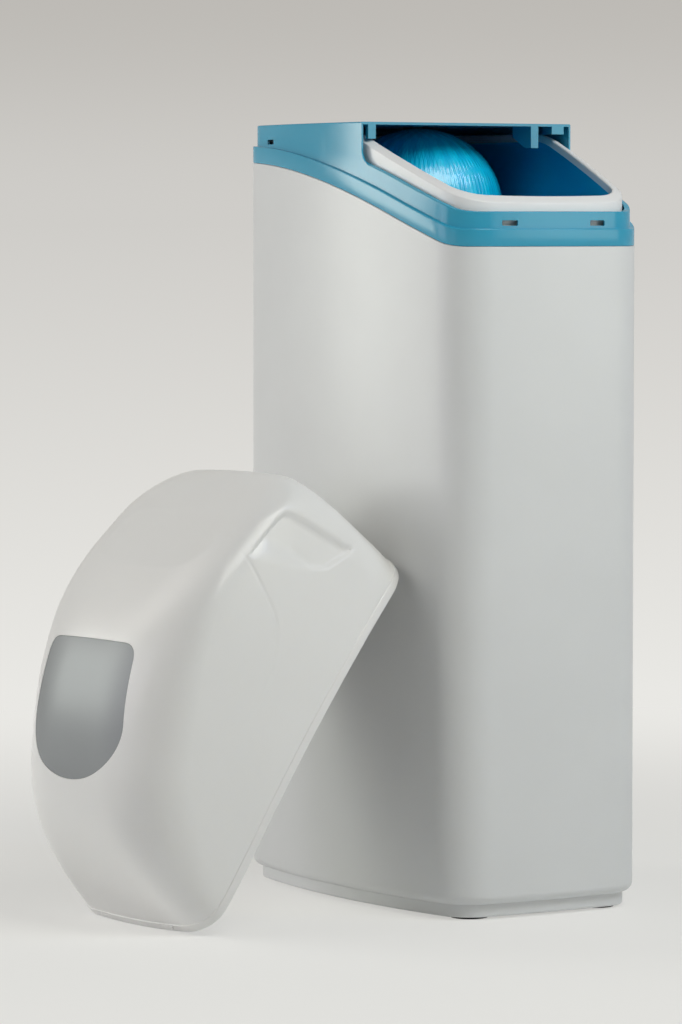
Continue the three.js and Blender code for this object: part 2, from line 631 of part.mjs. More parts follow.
function hoodBracket() {
  const middle = cabinet.width / 2 - hood.bracketInset;
  const top = hood.roof - hood.roofWall / 2;
  const bottom = hood.roof - hood.roofWall - hood.bracketDrop;
  const front = -hood.front;
  const rear = front + hood.bracketLength;
  const outline = [
    [front, top], [front, bottom], [front + hood.bracketFoot, bottom],
    [rear, bottom + hood.bracketHeel], [rear, top],
  ];
  return sidePrism(outline, middle - hood.bracketWidth / 2, middle + hood.bracketWidth / 2);
}

function hoodRib() {
  const middle = hood.ribInset - cabinet.width / 2;
  const top = hood.roof - hood.roofWall / 2;
  return block(
    middle - hood.ribWidth / 2, middle + hood.ribWidth / 2, -hood.front, -hood.front + hood.ribDepth,
    hood.roof - hood.roofWall - hood.ribDrop, top,
  );
}

function hoodBoss() {
  const middle = cabinet.width / 2 - hood.bossInset;
  return block(
    middle - hood.bossWidth / 2, middle + hood.bossWidth / 2, -hood.front, -hood.front + hood.bossDepth,
    hood.roof - hood.roofWall - hood.bossDrop, hood.roof - hood.roofWall / 2,
  );
}

// Brine tank and its rim

const tankBottom = cabinet.plinthTop + cabinet.floor + gap;
const tankFloor = tankBottom + tank.floor;

function brineTank() {
  const shell = cut(
    upright(tankPlan(tank.inset, rimCurve.marks), tankBottom, rim.rear),
    upright(tankPlan(tank.inset + tank.wall, rimCurve.marks), tankFloor, rim.rear + overrun),
    above(rimCurve, -rim.web - gap),
  );
  const holes = wallPorts().map(({ x, z, radius }) => rod(
    'y', clearing(radius), rearFace(tank.inset + tank.wall, x) - overrun, cabinet.depth / 2 - cabinet.wall,
    point(x, 0, z),
  ));
  return cut(shell, ...holes);
}

function tankRim() {
  const outer = rim.inset;
  const inner = rim.inset + rim.width;
  const channelOuter = tank.inset - rim.channelSlack;
  const channelInner = tank.inset + tank.wall + rim.channelSlack;
  const round = rim.cone / 3;
  const section = [
    [outer, -rim.skirt], [outer, -round], [outer + round / 2, 0],
    [inner - 2 * round, rim.cone], [inner - round, rim.cone - round / 4], [inner, rim.cone - 2 * round],
    [inner, -rim.innerSkirt], [channelInner, -rim.innerSkirt], [channelInner, -rim.web],
    [channelOuter, -rim.web], [channelOuter, -rim.skirt],
  ];
  const ring = carried(section, rimCurve, tankPlan);
  const holes = wallPorts().map(({ x, z, radius }) => rod(
    'y', radius + 2 * gap, rearFace(tank.inset, x) - overrun, cabinet.depth / 2, point(x, 0, z),
  ));
  return cut(ring, ...holes);
}

// Pressure vessel, its stand and what is screwed into its neck

const onVessel = point(0, vesselY, 0);

function vesselProfile(grow, domeSteps = curveSteps.dome) {
  const top = vessel.apex - vessel.dome;
  const radius = vessel.radius + grow;
  const neck = vessel.neck + grow;
  const full = Math.PI / 2;
  const start = Math.acos(neck / radius);
  const dome = (z, height, from, to) => Array.from({ length: domeSteps + 1 }, (_, i) => {
    const angle = from + (to - from) * i / domeSteps;
    return [radius * Math.cos(angle), z + (height + grow) * Math.sin(angle)];
  });
  return [
    [0, vessel.neckEnd], [neck, vessel.neckEnd],
    ...dome(vessel.base, vessel.baseDome, -start, 0),
    ...dome(top, vessel.dome, 0, full).slice(0, -1), [0, vessel.apex + grow],
  ];
}

function pressureVessel() {
  const hollow = join(
    turned(vesselProfile(-vessel.wall, curveSteps.arc), onVessel, sides.vessel),
    rod('z', vessel.neckBore, vessel.neckEnd - overrun, vessel.base, onVessel),
  );
  return cut(turned(vesselProfile(0), onVessel, sides.vessel), hollow);
}

function vesselStand() {
  const bottom = tankFloor + gap;
  const top = bottom + stand.height;
  const seat = vessel.base - vessel.baseDome;
  const ring = cut(
    rod('z', stand.radius, bottom, top, onVessel, sides.vessel),
    rod('z', stand.radius - stand.wall, bottom - overrun, seat, onVessel, sides.vessel),
    turned(vesselProfile(gap), onVessel, sides.vessel),
    rod('z', adapter.flange + gap, bottom - overrun, top + overrun, onVessel),
  );
  const arch = rod('y', stand.archRadius, vesselY, vesselY + stand.radius + overrun, point(0, 0, bottom));
  return cut(ring, arch);
}

function neckAdapter() {
  const flangeBottom = adapter.flangeTop - adapter.flangeHeight;
  const spigotTop = vessel.neckEnd + adapter.spigotLength;
  const portZ = (adapter.bottom + flangeBottom) / 2;
  const shape = turned([
    [0, adapter.bottom], [adapter.body, adapter.bottom],
    [adapter.body, flangeBottom], [adapter.flange, flangeBottom],
    [adapter.flange, adapter.flangeTop], [vessel.neckBore - gap, adapter.flangeTop],
    [vessel.neckBore - gap, spigotTop], [0, spigotTop],
  ], onVessel);
  const ports = [-adapter.spread, adapter.spread].map((x) => rod(
    'y', adapter.port, vesselY, vesselY + adapter.portLength, point(x, 0, portZ),
  ));
  const channels = [-adapter.spread, adapter.spread].map((x) => rod(
    'y', adapter.portBore, vesselY, vesselY + adapter.portLength + overrun,
    point(x, 0, portZ), sides.small,
  ));
  const centre = rod('z', riser.radius + gap, riser.bottom - gap, spigotTop + overrun, onVessel);
  const lower = rod('z', riser.radius - riser.wall, portZ, riser.bottom + bite, onVessel);
  const cross = rod('x', adapter.portBore, 0, adapter.spread, point(0, vesselY, portZ), sides.small);
  const onSide = point(-adapter.spread, vesselY, 0);
  const outer = rod('z', adapter.portBore, portZ, spigotTop + overrun, onSide, sides.small);
  return cut(join(shape, ...ports), ...channels, centre, lower, cross, outer);
}

function neckSeal() {
  const bottom = adapter.flangeTop + gap;
  return turned([
    [vessel.neckBore, bottom], [vessel.neck, bottom],
    [vessel.neck, vessel.neckEnd - gap], [vessel.neckBore, vessel.neckEnd - gap],
  ], onVessel);
}

function riserTube() {
  return turned([
    [riser.radius - riser.wall, riser.bottom], [riser.radius, riser.bottom],
    [riser.radius, riser.top], [riser.radius - riser.wall, riser.top],
  ], onVessel);
}

// A basket strainer on the riser, with a stack of narrow grooves
function basket(bottom, height, closed) {
  const pitch = height / (strainer.grooves + 1);
  const outside = [[strainer.radius, bottom]];
  for (let i = 1; i <= strainer.grooves; i += 1) {
    const z = bottom + pitch * i;
    const inner = strainer.radius - strainer.grooveDepth;
    outside.push(
      [strainer.radius, z - strainer.groove / 2], [inner, z - strainer.groove / 2],
      [inner, z + strainer.groove / 2], [strainer.radius, z + strainer.groove / 2],
    );
  }
  outside.push([strainer.radius, bottom + height]);
  const bore = riser.radius + gap;
  const seat = [[0, bottom + height], [0, riser.top + gap], [bore, riser.top + gap]];
  const top = closed ? seat : [[bore, bottom + height]];
  return turned([...outside, ...top, [bore, bottom]], onVessel);
}

const lowerStrainer = () => basket(vessel.neckEnd + adapter.spigotLength + gap, strainer.lowerHeight, false);
const upperStrainer = () => basket(riser.top - strainer.upperDepth, strainer.upperHeight, true);

// The two pipes from the vessel's neck up behind it to the valve
function vesselPipe(side) {
  const portZ = (adapter.bottom + adapter.flangeTop - adapter.flangeHeight) / 2;
  const x = side * adapter.spread;
  const corners = [
    point(x, vesselY + adapter.portLength + gap, portZ),
    point(x, valve.y, portZ),
    point(x, valve.y, valve.z - valve.legEnd - gap),
  ];
  return hose(corners, adapter.port, adapter.portBore, adapter.pipeBend);
}

// Control valve

const onValve = point(0, valve.y, valve.z);

function valveBody() {
  const half = valve.length / 2;
  const end = valve.y + valve.bossEnd;
  const ports = [-valve.portSpread, valve.portSpread];
  const legs = [-valve.legSpread, valve.legSpread];
  const at = (x) => point(x, valve.y, valve.z);
  const body = join(
    rod('x', valve.radius, -half, half, onValve),
    ...ports.map((x) => rod('y', valve.bossRadius, valve.y, end, at(x))),
    rod('y', drain.radius + drain.wall, valve.y, end, at(0)),
    ...legs.map((x) => rod('z', valve.legRadius, valve.z - valve.legEnd, valve.z, at(x))),
    rod('z', injector.boss, valve.z, valve.z + injector.bossTop, at(injector.x)),
    rod('z', brinePort.boss, valve.z - brinePort.end, valve.z, at(brinePort.x), sides.small),
  );
  const bores = [
    rod('x', valve.bore, -half - overrun, half - valve.blindWall, onValve),
    ...ports.flatMap((x) => [
      rod('y', valve.bossBore, valve.y, end, at(x), sides.small),
      rod('y', stub.radius + gap, end - stub.spigot, end + overrun, at(x)),
    ]),
    rod('y', drain.bore, valve.y, end, at(0), sides.small),
    rod('y', drain.radius + gap, end - drain.spigot, end + overrun, at(0)),
    ...legs.map((x) => rod(
      'z', adapter.portBore, valve.z - valve.legEnd - overrun, valve.z, at(x), sides.small,
    )),
    rod(
      'z', injector.bore + gap, valve.z + injector.bossTop - injector.spigot - gap,
      valve.z + injector.bossTop + overrun, at(injector.x), sides.small,
    ),
    rod('z', brinePort.bore, valve.z, valve.z + injector.bossTop, at(injector.x), sides.small),
    rod('z', brinePort.bore, valve.z - brinePort.end - overrun, valve.z, at(brinePort.x), sides.small),
  ];
  return cut(body, ...bores);
}

function spoolCage() {
  const from = -valve.length / 2 + gap;
  const to = valve.length / 2 - valve.blindWall - gap;
  const outer = valve.bore - gap;
  const tube = cut(
    rod('x', outer, from, to, onValve),
    rod('x', outer - spool.cageWall, from - overrun, to + overrun, onValve),
  );
  const pitch = (to - from) / (spool.rings + 1);
  const windows = Array.from({ length: spool.rings + 1 }, (_, i) => {
    const middle = from + pitch * (i + 0.5);
    const half = (pitch - spool.ring) / 2;
    return [
      block(
        middle - half, middle + half, valve.y - spool.ring, valve.y + spool.ring,
        valve.z - valve.bore, valve.z + valve.bore,
      ),
      block(
        middle - half, middle + half, valve.y, valve.y + valve.bore,
        valve.z - spool.ring, valve.z + spool.ring,
      ),
    ];
  }).flat();
  return cut(tube, ...windows);
}

function spoolPiston() {
  const end = valve.length / 2 - valve.blindWall - 2 * gap;
  const start = end - spool.length;
  const landWidth = spool.length / (2 * spool.lands - 1);
  const lands = Array.from({ length: spool.lands }, (_, i) => rod(
    'x', spool.land, start + 2 * landWidth * i, start + landWidth * (2 * i + 1), onValve,
  ));
  return join(
    rod('x', spool.stem, start + bite, end - bite, onValve),
    ...lands,
    rod('x', spool.rod, -spool.rodReach, start + 2 * bite, onValve, sides.small),
  );
}

function valveEndCap() {
  const face = -valve.length / 2 - gap;
  return cut(
    rod('x', cap.flange, face - cap.thickness, face, onValve),
    rod('x', spool.rod + gap, face - cap.thickness - overrun, face + overrun, onValve, sides.small),
  );
}

const plateFace = -valve.length / 2 - gap - cap.thickness - drive.plateGap;
const gearFace = plateFace - drive.plate - gap - drive.hubWidth;
const motorFace = gearFace - drive.gearWidth - drive.hubWidth;
const pinionZ = valve.z + drive.module * (drive.teeth + drive.pinionTeeth) / 2;
const pillars = [-drive.pillarSpread, drive.pillarSpread].map(
  (dy) => point(0, valve.y + dy, valve.z + drive.pillarRise),
);

function drivePlate() {
  const capFace = plateFace + drive.plateGap - gap;
  const half = drive.pillarSpread + drive.margin;
  const plate = block(
    plateFace - drive.plate, plateFace, valve.y - half, valve.y + half,
    valve.z - cap.flange, valve.z + drive.pillarRise + drive.margin,
  );
  const feet = [-1, 1].map((side) => rod(
    'x', drive.pillar, plateFace - bite, capFace,
    point(0, valve.y + side * (cap.flange - drive.margin), valve.z), sides.small,
  ));
  const posts = pillars.map((p) => rod('x', drive.pillar, motorFace + gap, plateFace - bite, p, sides.small));
  const bores = [
    rod('x', spool.rod + gap, plateFace - drive.plate - overrun, capFace + overrun, onValve, sides.small),
    rod(
      'x', clearing(drive.shaft, sides.small), plateFace - drive.plate - overrun, plateFace + overrun,
      point(0, valve.y, pinionZ), sides.small,
    ),
  ];
  return cut(join(plate, ...feet, ...posts), ...bores);
}

// A spur gear about a line along X, with straight-flanked teeth; phase is a share of a tooth
function spurGear(teeth, from, to, z, phase) {
  const pitch = drive.module * teeth / 2;
  const tip = pitch + drive.addendumShare * drive.module;
  const root = pitch - drive.dedendumShare * drive.module;
  const step = 2 * Math.PI / teeth;
  const [rootShare, tipShare] = drive.toothShares;
  const flankShares = [[root, -rootShare], [tip, -tipShare], [tip, tipShare], [root, rootShare]];
  const outline = Array.from({ length: teeth }, (_, i) => flankShares.map(([radius, share]) => {
    const angle = step * (i + phase + share);
    return [valve.y + radius * Math.cos(angle), z + radius * Math.sin(angle)];
  })).flat();
  return sidePrism(outline, from, to);
}

function driveGear() {
  const hubFace = gearFace - drive.gearWidth - drive.hubWidth / 2;
  const hub = rod('x', drive.hub, hubFace, gearFace + drive.hubWidth, onValve);
  const bore = rod(
    'x', clearing(spool.rod, sides.small), gearFace - drive.gearWidth - overrun, gearFace + overrun,
    onValve, sides.small,
  );
  return cut(join(spurGear(drive.teeth, gearFace - drive.gearWidth, gearFace, valve.z, 0), hub), bore);
}

function motorPinion() {
  const centre = point(0, valve.y, pinionZ);
  return join(
    spurGear(drive.pinionTeeth, gearFace - drive.gearWidth, gearFace, pinionZ, 1 / 2),
    rod('x', drive.shaft, motorFace + gap, plateFace, centre, sides.small),
  );
}

function gearMotor() {
  const centre = point(0, valve.y, pinionZ);
  const half = drive.pillarSpread + drive.margin;
  return join(
    rod(
      'x', drive.motorRadius, motorFace - drive.plate - drive.motorLength,
      motorFace - drive.plate + bite, centre,
    ),
    block(
      motorFace - drive.plate, motorFace, valve.y - half, valve.y + half,
      pinionZ - drive.motorRadius, valve.z + drive.pillarRise + drive.margin,
    ),
  );
}

// The bracket that holds the valve to the tank's back wall
const bracketFace = rearFace(tank.inset + tank.wall, bracket.width / 2) - gap;

function valveBracket() {
  const plate = block(
    -bracket.width / 2, bracket.width / 2, bracketFace - bracket.thickness, bracketFace,
    valve.z - bracket.height / 2, valve.z + bracket.height / 2,
  );
  const holes = [-valve.portSpread, valve.portSpread].map((x) => rod(
    'y', stub.radius + gap, bracketFace - overrun, bracketFace + overrun, point(x, 0, valve.z),
  ));
  const onDrain = point(0, 0, valve.z);
  const middle = rod('y', drain.radius + gap, bracketFace - overrun, bracketFace + overrun, onDrain);
  return cut(plate, ...holes, middle);
}

const bossFace = cabinet.depth / 2 + cabinet.portProud;

function portStub(x) {
  const centre = point(x, 0, valve.z);
  const end = valve.y + valve.bossEnd;
  const collarEnd = bracketFace - bracket.thickness - gap;
  const tube = join(
    rod('y', stub.radius, end - stub.spigot + gap, bossFace + stub.outside, centre),
    rod('y', stub.collar, end + gap, collarEnd, centre),
  );
  return cut(tube, rod('y', stub.bore, valve.y, bossFace + stub.outside + overrun, centre, sides.small));
}

function portSeal(x) {
  const centre = point(x, 0, valve.z);
  return cut(
    rod('y', nut.sealRadius, bossFace + gap, bossFace + gap + nut.seal, centre),
    rod('y', stub.radius + gap, bossFace - overrun, bossFace + nut.seal + overrun, centre),
  );
}

function portNut(x) {
  const centre = point(x, 0, valve.z);
  const face = bossFace + nut.seal + 2 * gap;
  return cut(
    hexagon('y', nut.flats, face, face + nut.thickness, centre),
    rod('y', stub.radius + gap, face - overrun, face + nut.thickness + overrun, centre),
  );
}

function drainFitting() {
  const centre = point(0, 0, valve.z);
  const end = valve.y + valve.bossEnd;
  const outside = bossFace + drain.outside;
  const pitch = (drain.outside - drain.collar / 2) / drain.barbs;
  const barbs = Array.from({ length: drain.barbs }, (_, i) => {
    const geometry = new THREE.CylinderGeometry(
      drain.neck, drain.radius + drain.barb, pitch * drain.barbShare, sides.small,
    );
    geometry.translate(0, outside - pitch * (i + 0.5), valve.z);
    return solidOf(geometry);
  });
  const body = join(
    rod('y', drain.radius, end - drain.spigot + gap, outside - pitch * drain.barbs, centre),
    rod('y', drain.neck, outside - pitch * drain.barbs - bite, outside, centre, sides.small),
    rod('y', drain.collar, bossFace + gap, bossFace + gap + drain.collarLength, centre),
    ...barbs,
  );
  return cut(body, rod('y', drain.bore, valve.y, outside + overrun, centre, sides.small));
}

function injectorPlug() {
  const centre = point(injector.x, valve.y, 0);
  const top = valve.z + injector.bossTop;
  return join(
    rod('z', injector.bore, top - injector.spigot, top + gap + bite, centre, sides.small),
    rod('z', injector.plug, top + gap, top + gap + injector.plugHeight, centre, sides.small),
    hexagon('z', injector.head, top + gap + bite, top + gap + injector.headHeight, centre),
  );
}

// Brine well, safety valve and float

const onWell = point(well.x, well.y, 0);

function brineWell() {
  const bottom = tankFloor + gap;
  const inner = well.radius - well.wall;
  const tube = cut(
    rod('z', well.radius, bottom, well.top, onWell),
    rod('z', inner, bottom + well.wall, well.top + overrun, onWell),
  );
  const slots = Array.from({ length: well.slots }, (_, i) => {
    const z = bottom + well.slotRise + well.slotPitch * i;
    const reach = well.radius + overrun;
    return block(well.x - reach, well.x + reach, well.y - inner / 2, well.y + inner / 2, z, z + well.slot);
  });
  return cut(tube, ...slots);
}

function brineWellCap() {
  const bottom = well.top + gap;
  const outer = well.radius + gap + wellCap.lip;
  return turned([
    [wellCap.hole, bottom], [well.radius + gap, bottom], [well.radius + gap, bottom - wellCap.skirt],
    [outer, bottom - wellCap.skirt], [outer, bottom + wellCap.thickness - wellCap.edge],
    [outer - wellCap.edge, bottom + wellCap.thickness],
    [wellCap.hole, bottom + wellCap.thickness],
  ], onWell);
}

function safetyValve() {
  const bottom = safety.top - safety.height;
  const pickup = point(well.x + safety.pickupOffset, well.y, 0);
  const stem = point(well.x + float.offset, well.y, 0);
  const footBottom = tankFloor + gap + well.wall + gap;
  const inner = well.radius - well.wall - gap;
  const body = join(
    rod('z', inner, bottom + safety.inset, safety.top - safety.inset, onWell),
    rod('z', safety.radius, bottom, safety.top, onWell),
    rod('z', safety.pickup, footBottom, bottom + safety.inset + bite, pickup, sides.small),
    rod('z', safety.foot, footBottom, footBottom + safety.footHeight, pickup, sides.small),
  );
  const stemTop = float.rodTop + float.travel + 2 * gap;
  return cut(body, rod('z', float.rod + gap, bottom - overrun, stemTop, stem, sides.small));
}

function floatAssembly() {
  const centre = point(well.x + float.offset, well.y, 0);
  const top = float.bottom + float.height;
  const edge = float.radius / 4;
  return join(
    turned([
      [0, float.bottom], [float.radius - edge, float.bottom], [float.radius, float.bottom + edge],
      [float.radius, top - edge], [float.radius - edge, top], [0, top],
    ], centre),
    rod('z', float.rod, top - bite, float.rodTop, centre, sides.small),
  );
}

function brineHose() {
  const start = point(brinePort.x, valve.y, valve.z - brinePort.end - gap);
  const level = start.z - brineLine.drop;
  return hose([
    start, point(brinePort.x, valve.y, level),
    point(well.x, well.y, level), point(well.x, well.y, safety.top + gap),
  ], brineLine.radius, brineLine.bore, brineLine.bend);
}

// Salt grid, overflow and the controller

function saltGrid() {
  const inset = tank.inset + tank.wall + grid.clearance;
  const holeRadius = vessel.radius + grid.clearance;
  const plate = cut(
    upright(tankPlan(inset, rimCurve.marks), grid.z, grid.z + grid.thickness),
    rod('z', holeRadius, grid.z - overrun, grid.z + grid.thickness + overrun, onVessel, sides.vessel),
    rod('z', well.radius + grid.clearance, grid.z - overrun, grid.z + grid.thickness + overrun, onWell),
    block(
      -adapter.spread - adapter.port - grid.clearance, adapter.spread + adapter.port + grid.clearance,
      valve.y - adapter.port - grid.clearance, reachY, grid.z - overrun, grid.z + grid.thickness + overrun,
    ),
  );
  const start = grid.slotStart + inset - cabinet.depth / 2;
  const length = grid.lengthShare * (vesselY - holeRadius - start);
  const pairs = Math.floor((cabinet.width / 2 - inset - grid.slotMargin) / grid.pitch);
  const slots = Array.from({ length: 2 * pairs + 1 }, (_, i) => {
    const x = (i - pairs) * grid.pitch;
    return block(
      x - grid.slotWidth / 2, x + grid.slotWidth / 2, start, start + length,
      grid.z - overrun, grid.z + grid.thickness + overrun,
    );
  });
  const legY = cabinet.depth / 2 - inset - grid.legInset;
  const besideVessel = (holeRadius + sideFace(inset, vesselY)) / 2;
  const feet = [[-1, -legY], [1, -legY], [-1, legY]].map(
    ([side, y]) => point(side * (sideFace(inset, y) - grid.legSide), y, 0),
  );
  feet.push(point(-besideVessel, vesselY, 0), point(besideVessel, vesselY, 0));
  const legs = feet.map((at) => rod('z', grid.leg, tankFloor + gap, grid.z + bite, at, sides.small));
  return join(cut(plate, ...slots), ...legs);
}

function overflowElbow() {
  const wallFace = rearFace(tank.inset + tank.wall, overflow.x - overflow.collar) - gap;
  const insideY = wallFace - overflow.inside;
  const out = bossFace + overflow.outside;
  const corners = [
    point(overflow.x, insideY, overflow.z - overflow.drop),
    point(overflow.x, insideY, overflow.z),
    point(overflow.x, out, overflow.z),
  ];
  const onOverflow = point(overflow.x, 0, overflow.z);
  const collar = rod('y', overflow.collar, wallFace - overflow.collarLength, wallFace, onOverflow);
  const bore = [
    corners[0].clone().setZ(corners[0].z - overrun), corners[1], corners[2].clone().setY(out + overrun),
  ];
  return cut(
    join(bent(corners, overflow.radius, overflow.bend, sides.small), collar),
    bent(bore, overflow.bore, overflow.bend, sides.small),
  );
}

function overflowNut() {
  const centre = point(overflow.x, 0, overflow.z);
  return cut(
    hexagon('y', overflow.flats, bossFace + gap, bossFace + gap + overflow.nut, centre),
    rod('y', clearing(overflow.radius), bossFace - overrun, bossFace + overflow.nut + overrun, centre),
  );
}

function controlBox() {
  const x0 = boxX - box.width / 2;
  const x1 = boxX + box.width / 2;
  const y0 = box.y - box.depth / 2;
  const y1 = box.y + box.depth / 2;
  const z0 = box.z - box.height / 2;
  const z1 = box.z + box.height / 2;
  const shell = cut(
    block(x0, x1, y0, y1, z0, z1),
    block(x0 + box.wall, x1 - box.wall, y0 - overrun, y1 - box.wall, z0 + box.wall, z1 - box.wall),
  );
  const lugTop = hood.roof - hood.roofWall - gap;
  const lugs = [x0, x1 - box.lug].map((x) => block(x, x + box.lug, y1 - box.lugWall, y1, z1 - bite, lugTop));
  return join(shell, ...lugs);
}

function controlCover() {
  const face = box.y - box.depth / 2 - gap;
  const plate = block(
    boxX - box.width / 2, boxX + box.width / 2, face - box.cover, face,
    box.z - box.height / 2, box.z + box.height / 2,
  );
  const screen = block(
    boxX - box.width / 3, boxX + box.width / 3, face - box.cover - overrun, face - box.cover / 2,
    box.z, box.z + box.height / 3,
  );
  return cut(plate, screen);
}

function circuitBoard() {
  const margin = box.wall + gap;
  const y = box.y - box.depth / 4;
  const board = block(
    boxX - box.width / 2 + margin, boxX + box.width / 2 - margin, y, y + box.board,
    box.z - box.height / 2 + margin, box.z + box.height / 2 - margin,
  );
  const relay = block(
    boxX - box.width / 5, boxX + box.width / 6, y + box.board / 2, y + box.relay,
    box.z - box.height / 4, box.z - box.height / 12,
  );
  return join(board, relay);
}

function powerInlet() {
  const centre = point(inlet.x, 0, inlet.z);
  const innerFace = rearFace(tank.inset + tank.wall, inlet.x) - gap;
  const body = join(
    rod('y', inlet.radius, innerFace - overrun, bossFace + inlet.outside, centre),
    rod('y', inlet.collar, bossFace + gap, bossFace + gap + inlet.collarLength, centre),
  );
  return cut(
    body,
    rod('y', inlet.bore, bossFace - overrun, bossFace + inlet.outside + overrun, centre, sides.small),
  );
}

// Lid

const lidBase = crest.front + band.stepHeight;
const lidHeight = lid.top - lidBase;

// The lid's rounded form, shrunk by an inset, which counts sideways at the foot and downwards at the top
function lidShape(inset, levels = lidLevelShares) {
  const rings = levels.map((level) => {
    const front = -level.front * cabinet.depth / 2 + inset;
    const rear = level.rear * cabinet.depth / 2 - inset;
    const z = lidBase + level.height * lidHeight - Math.max(level.height, 0) ** 3 * inset;
    const ring = bowedRing({
      halfWidth: level.side * cabinet.width / 2, halfDepth: (rear - front) / 2 + inset,
      middle: (rear + front) / 2,
      corner: level.corner * cabinet.corner, frontCorner: level.frontCorner * cabinet.corner, inset,
    });
    return ring.map((p) => point(p.x, p.y, z));
  });
  return loft(rings);
}

function paneOutline(grow) {
  const half = pane.width / 2 + grow;
  const topHalf = pane.topWidth / 2 + grow;
  const top = pane.above + grow;
  const shape = new THREE.Shape();
  shape.moveTo(half, -pane.bend);
  shape.lineTo(topHalf, top - pane.corner);
  shape.quadraticCurveTo(topHalf, top, topHalf - pane.corner, top);
  shape.quadraticCurveTo(0, top + pane.arch, pane.corner - topHalf, top);
  shape.quadraticCurveTo(-topHalf, top, -topHalf, top - pane.corner);
  shape.lineTo(-half, -pane.bend);
  shape.absellipse(0, -pane.bend, half, pane.below - pane.bend + grow, Math.PI, 2 * Math.PI, false);
  return shape.getPoints(curveSteps.pane);
}

function panePrism(grow) {
  const shape = new THREE.Shape(paneOutline(grow));
  const geometry = new THREE.ExtrudeGeometry(shape, { depth: pane.reach, bevelEnabled: false });
  geometry.translate(pane.x, 0, -pane.reach / 2);
  geometry.rotateX(THREE.MathUtils.degToRad(pane.tilt));
  geometry.translate(0, pane.y, pane.z);
  return solidOf(geometry);
}

// The finger grips: shallow scoops high on the two sides, near the back
function gripScoop(side, grow) {
  const geometry = new THREE.SphereGeometry(1, sides.rod, sides.small);
  geometry.scale(grip.width / 2 + grow, grip.length / 2 + grow, grip.height / 2 + grow);
  geometry.rotateX(THREE.MathUtils.degToRad(grip.turn));
  geometry.translate(side * grip.x, grip.y, grip.z);
  return solidOf(geometry);
}

function lidWalls() {
  const outer = cut(lidShape(lid.groove), gripScoop(-1, 0), gripScoop(1, 0));
  const coarse = lidLevelShares.filter((_, i) => i % 2 === 0 || i === lidLevelShares.length - 1);
  const inner = cut(lidShape(lid.groove + lid.wall, coarse), gripScoop(-1, lid.wall), gripScoop(1, lid.wall));
  return cut(outer, inner, below(crestCurve, band.stepHeight + lid.seat));
}

function lidShell(walls) {
  const seat = band.stepHeight + lid.seat;
  const inner = lid.footWall;
  const foot = carried(
    [
      [0, seat], [0, seat + lid.foot - lid.groove], [lid.groove, seat + lid.foot],
      [inner, seat + lid.foot], [inner, seat],
    ],
    crestCurve, plan,
  );
  return cut(join(walls, foot, ...lidHooks()), panePrism(gap));
}

// Snap hooks on the inside of the lid, one for each hole in the collar
function lidHooks() {
  const inner = lid.groove + lid.wall;
  const front = -cabinet.depth / 2 + inner;
  const rise = crest.front + slot.rise;
  const wedge = (y, z) => [
    [y - lid.wall, z - lid.hookHeight / 2], [y + lid.hookReach, z - lid.hookHeight / 2],
    [y + lid.hookReach, z], [y - lid.wall, z + lid.hookHeight / 2],
  ];
  const fronts = [-slot.spread, slot.spread].map((x) => sidePrism(
    wedge(front, rise), x - lid.hookWidth / 2, x + lid.hookWidth / 2,
  ));
  const z = crestCurve.height(sideHole.y, sideHole.rise);
  const halfLength = sideHole.width / 2 - lid.hookPlay;
  const backs = [-1, 1].map((side) => {
    const face = sideFace(inner, sideHole.y);
    const from = side > 0 ? face - lid.hookReach : -face - lid.wall;
    const to = side > 0 ? face + lid.wall : -face + lid.hookReach;
    return block(
      from, to, sideHole.y - halfLength, sideHole.y + halfLength,
      z - lid.hookHeight / 2, z + lid.hookHeight / 2,
    );
  });
  return [...fronts, ...backs];
}

// The turn of the leaning lid, which faces its left wall to the front, stands on its front edge and
// leans its back edge on the cabinet
function leanMatrix() {
  const angle = THREE.MathUtils.degToRad(lean.tilt);
  const matrix = new THREE.Matrix4().makeBasis(
    point(0, -1, 0),
    point(Math.cos(angle), 0, Math.sin(angle)),
    point(-Math.sin(angle), 0, Math.cos(angle)),
  );
  matrix.premultiply(new THREE.Matrix4().makeRotationZ(THREE.MathUtils.degToRad(lean.turn)));
  return matrix;
}

// Where the turned lid stands: down on the floor and up against the cabinet's bowed side
function leanPlace(geometry, matrix) {
  const centre = point(0, 0, lidBase).applyMatrix4(matrix);
  const offsetY = lean.y - centre.y;
  const p = new THREE.Vector3();
  let lowest = Infinity;
  const points = [];
  for (let i = 0; i < geometry.attributes.position.count; i += 1) {
    p.fromBufferAttribute(geometry.attributes.position, i).applyMatrix4(matrix);
    lowest = Math.min(lowest, p.z);
    points.push(p.clone());
  }
  const room = points.map((q) => {
    const y = q.y + offsetY;
    return -sideFace(0, THREE.MathUtils.clamp(y, -cabinet.depth / 2, cabinet.depth / 2)) - q.x;
  });
  return point(Math.min(...room) - gap, offsetY, gap - lowest);
}

// The whole softener

const softener = new THREE.Group();

function add(name, solid, material, parent = softener) {
  const mesh = new THREE.Mesh(geometryOf(solid), material);
  mesh.name = name;
  parent.add(mesh);
  return mesh;
}

add('cabinet_body', cabinetBody(), colours.white);
[['front_left', -1, -1], ['front_right', 1, -1], ['rear_left', -1, 1], ['rear_right', 1, 1]]
  .forEach(([place, sx, sy]) => add(`foot_${place}`, footPad(sx, sy), colours.rubber));
add('top_frame', topFrame(), colours.teal);
screwPlaces().forEach((place, i) => {
  add(`frame_screw_${['left', 'right'][i]}`, frameScrew(place), colours.steel);
});
add('brine_tank', brineTank(), colours.tankBlue);
add('tank_rim', tankRim(), colours.rimWhite);
add('salt_grid', saltGrid(), colours.natural);

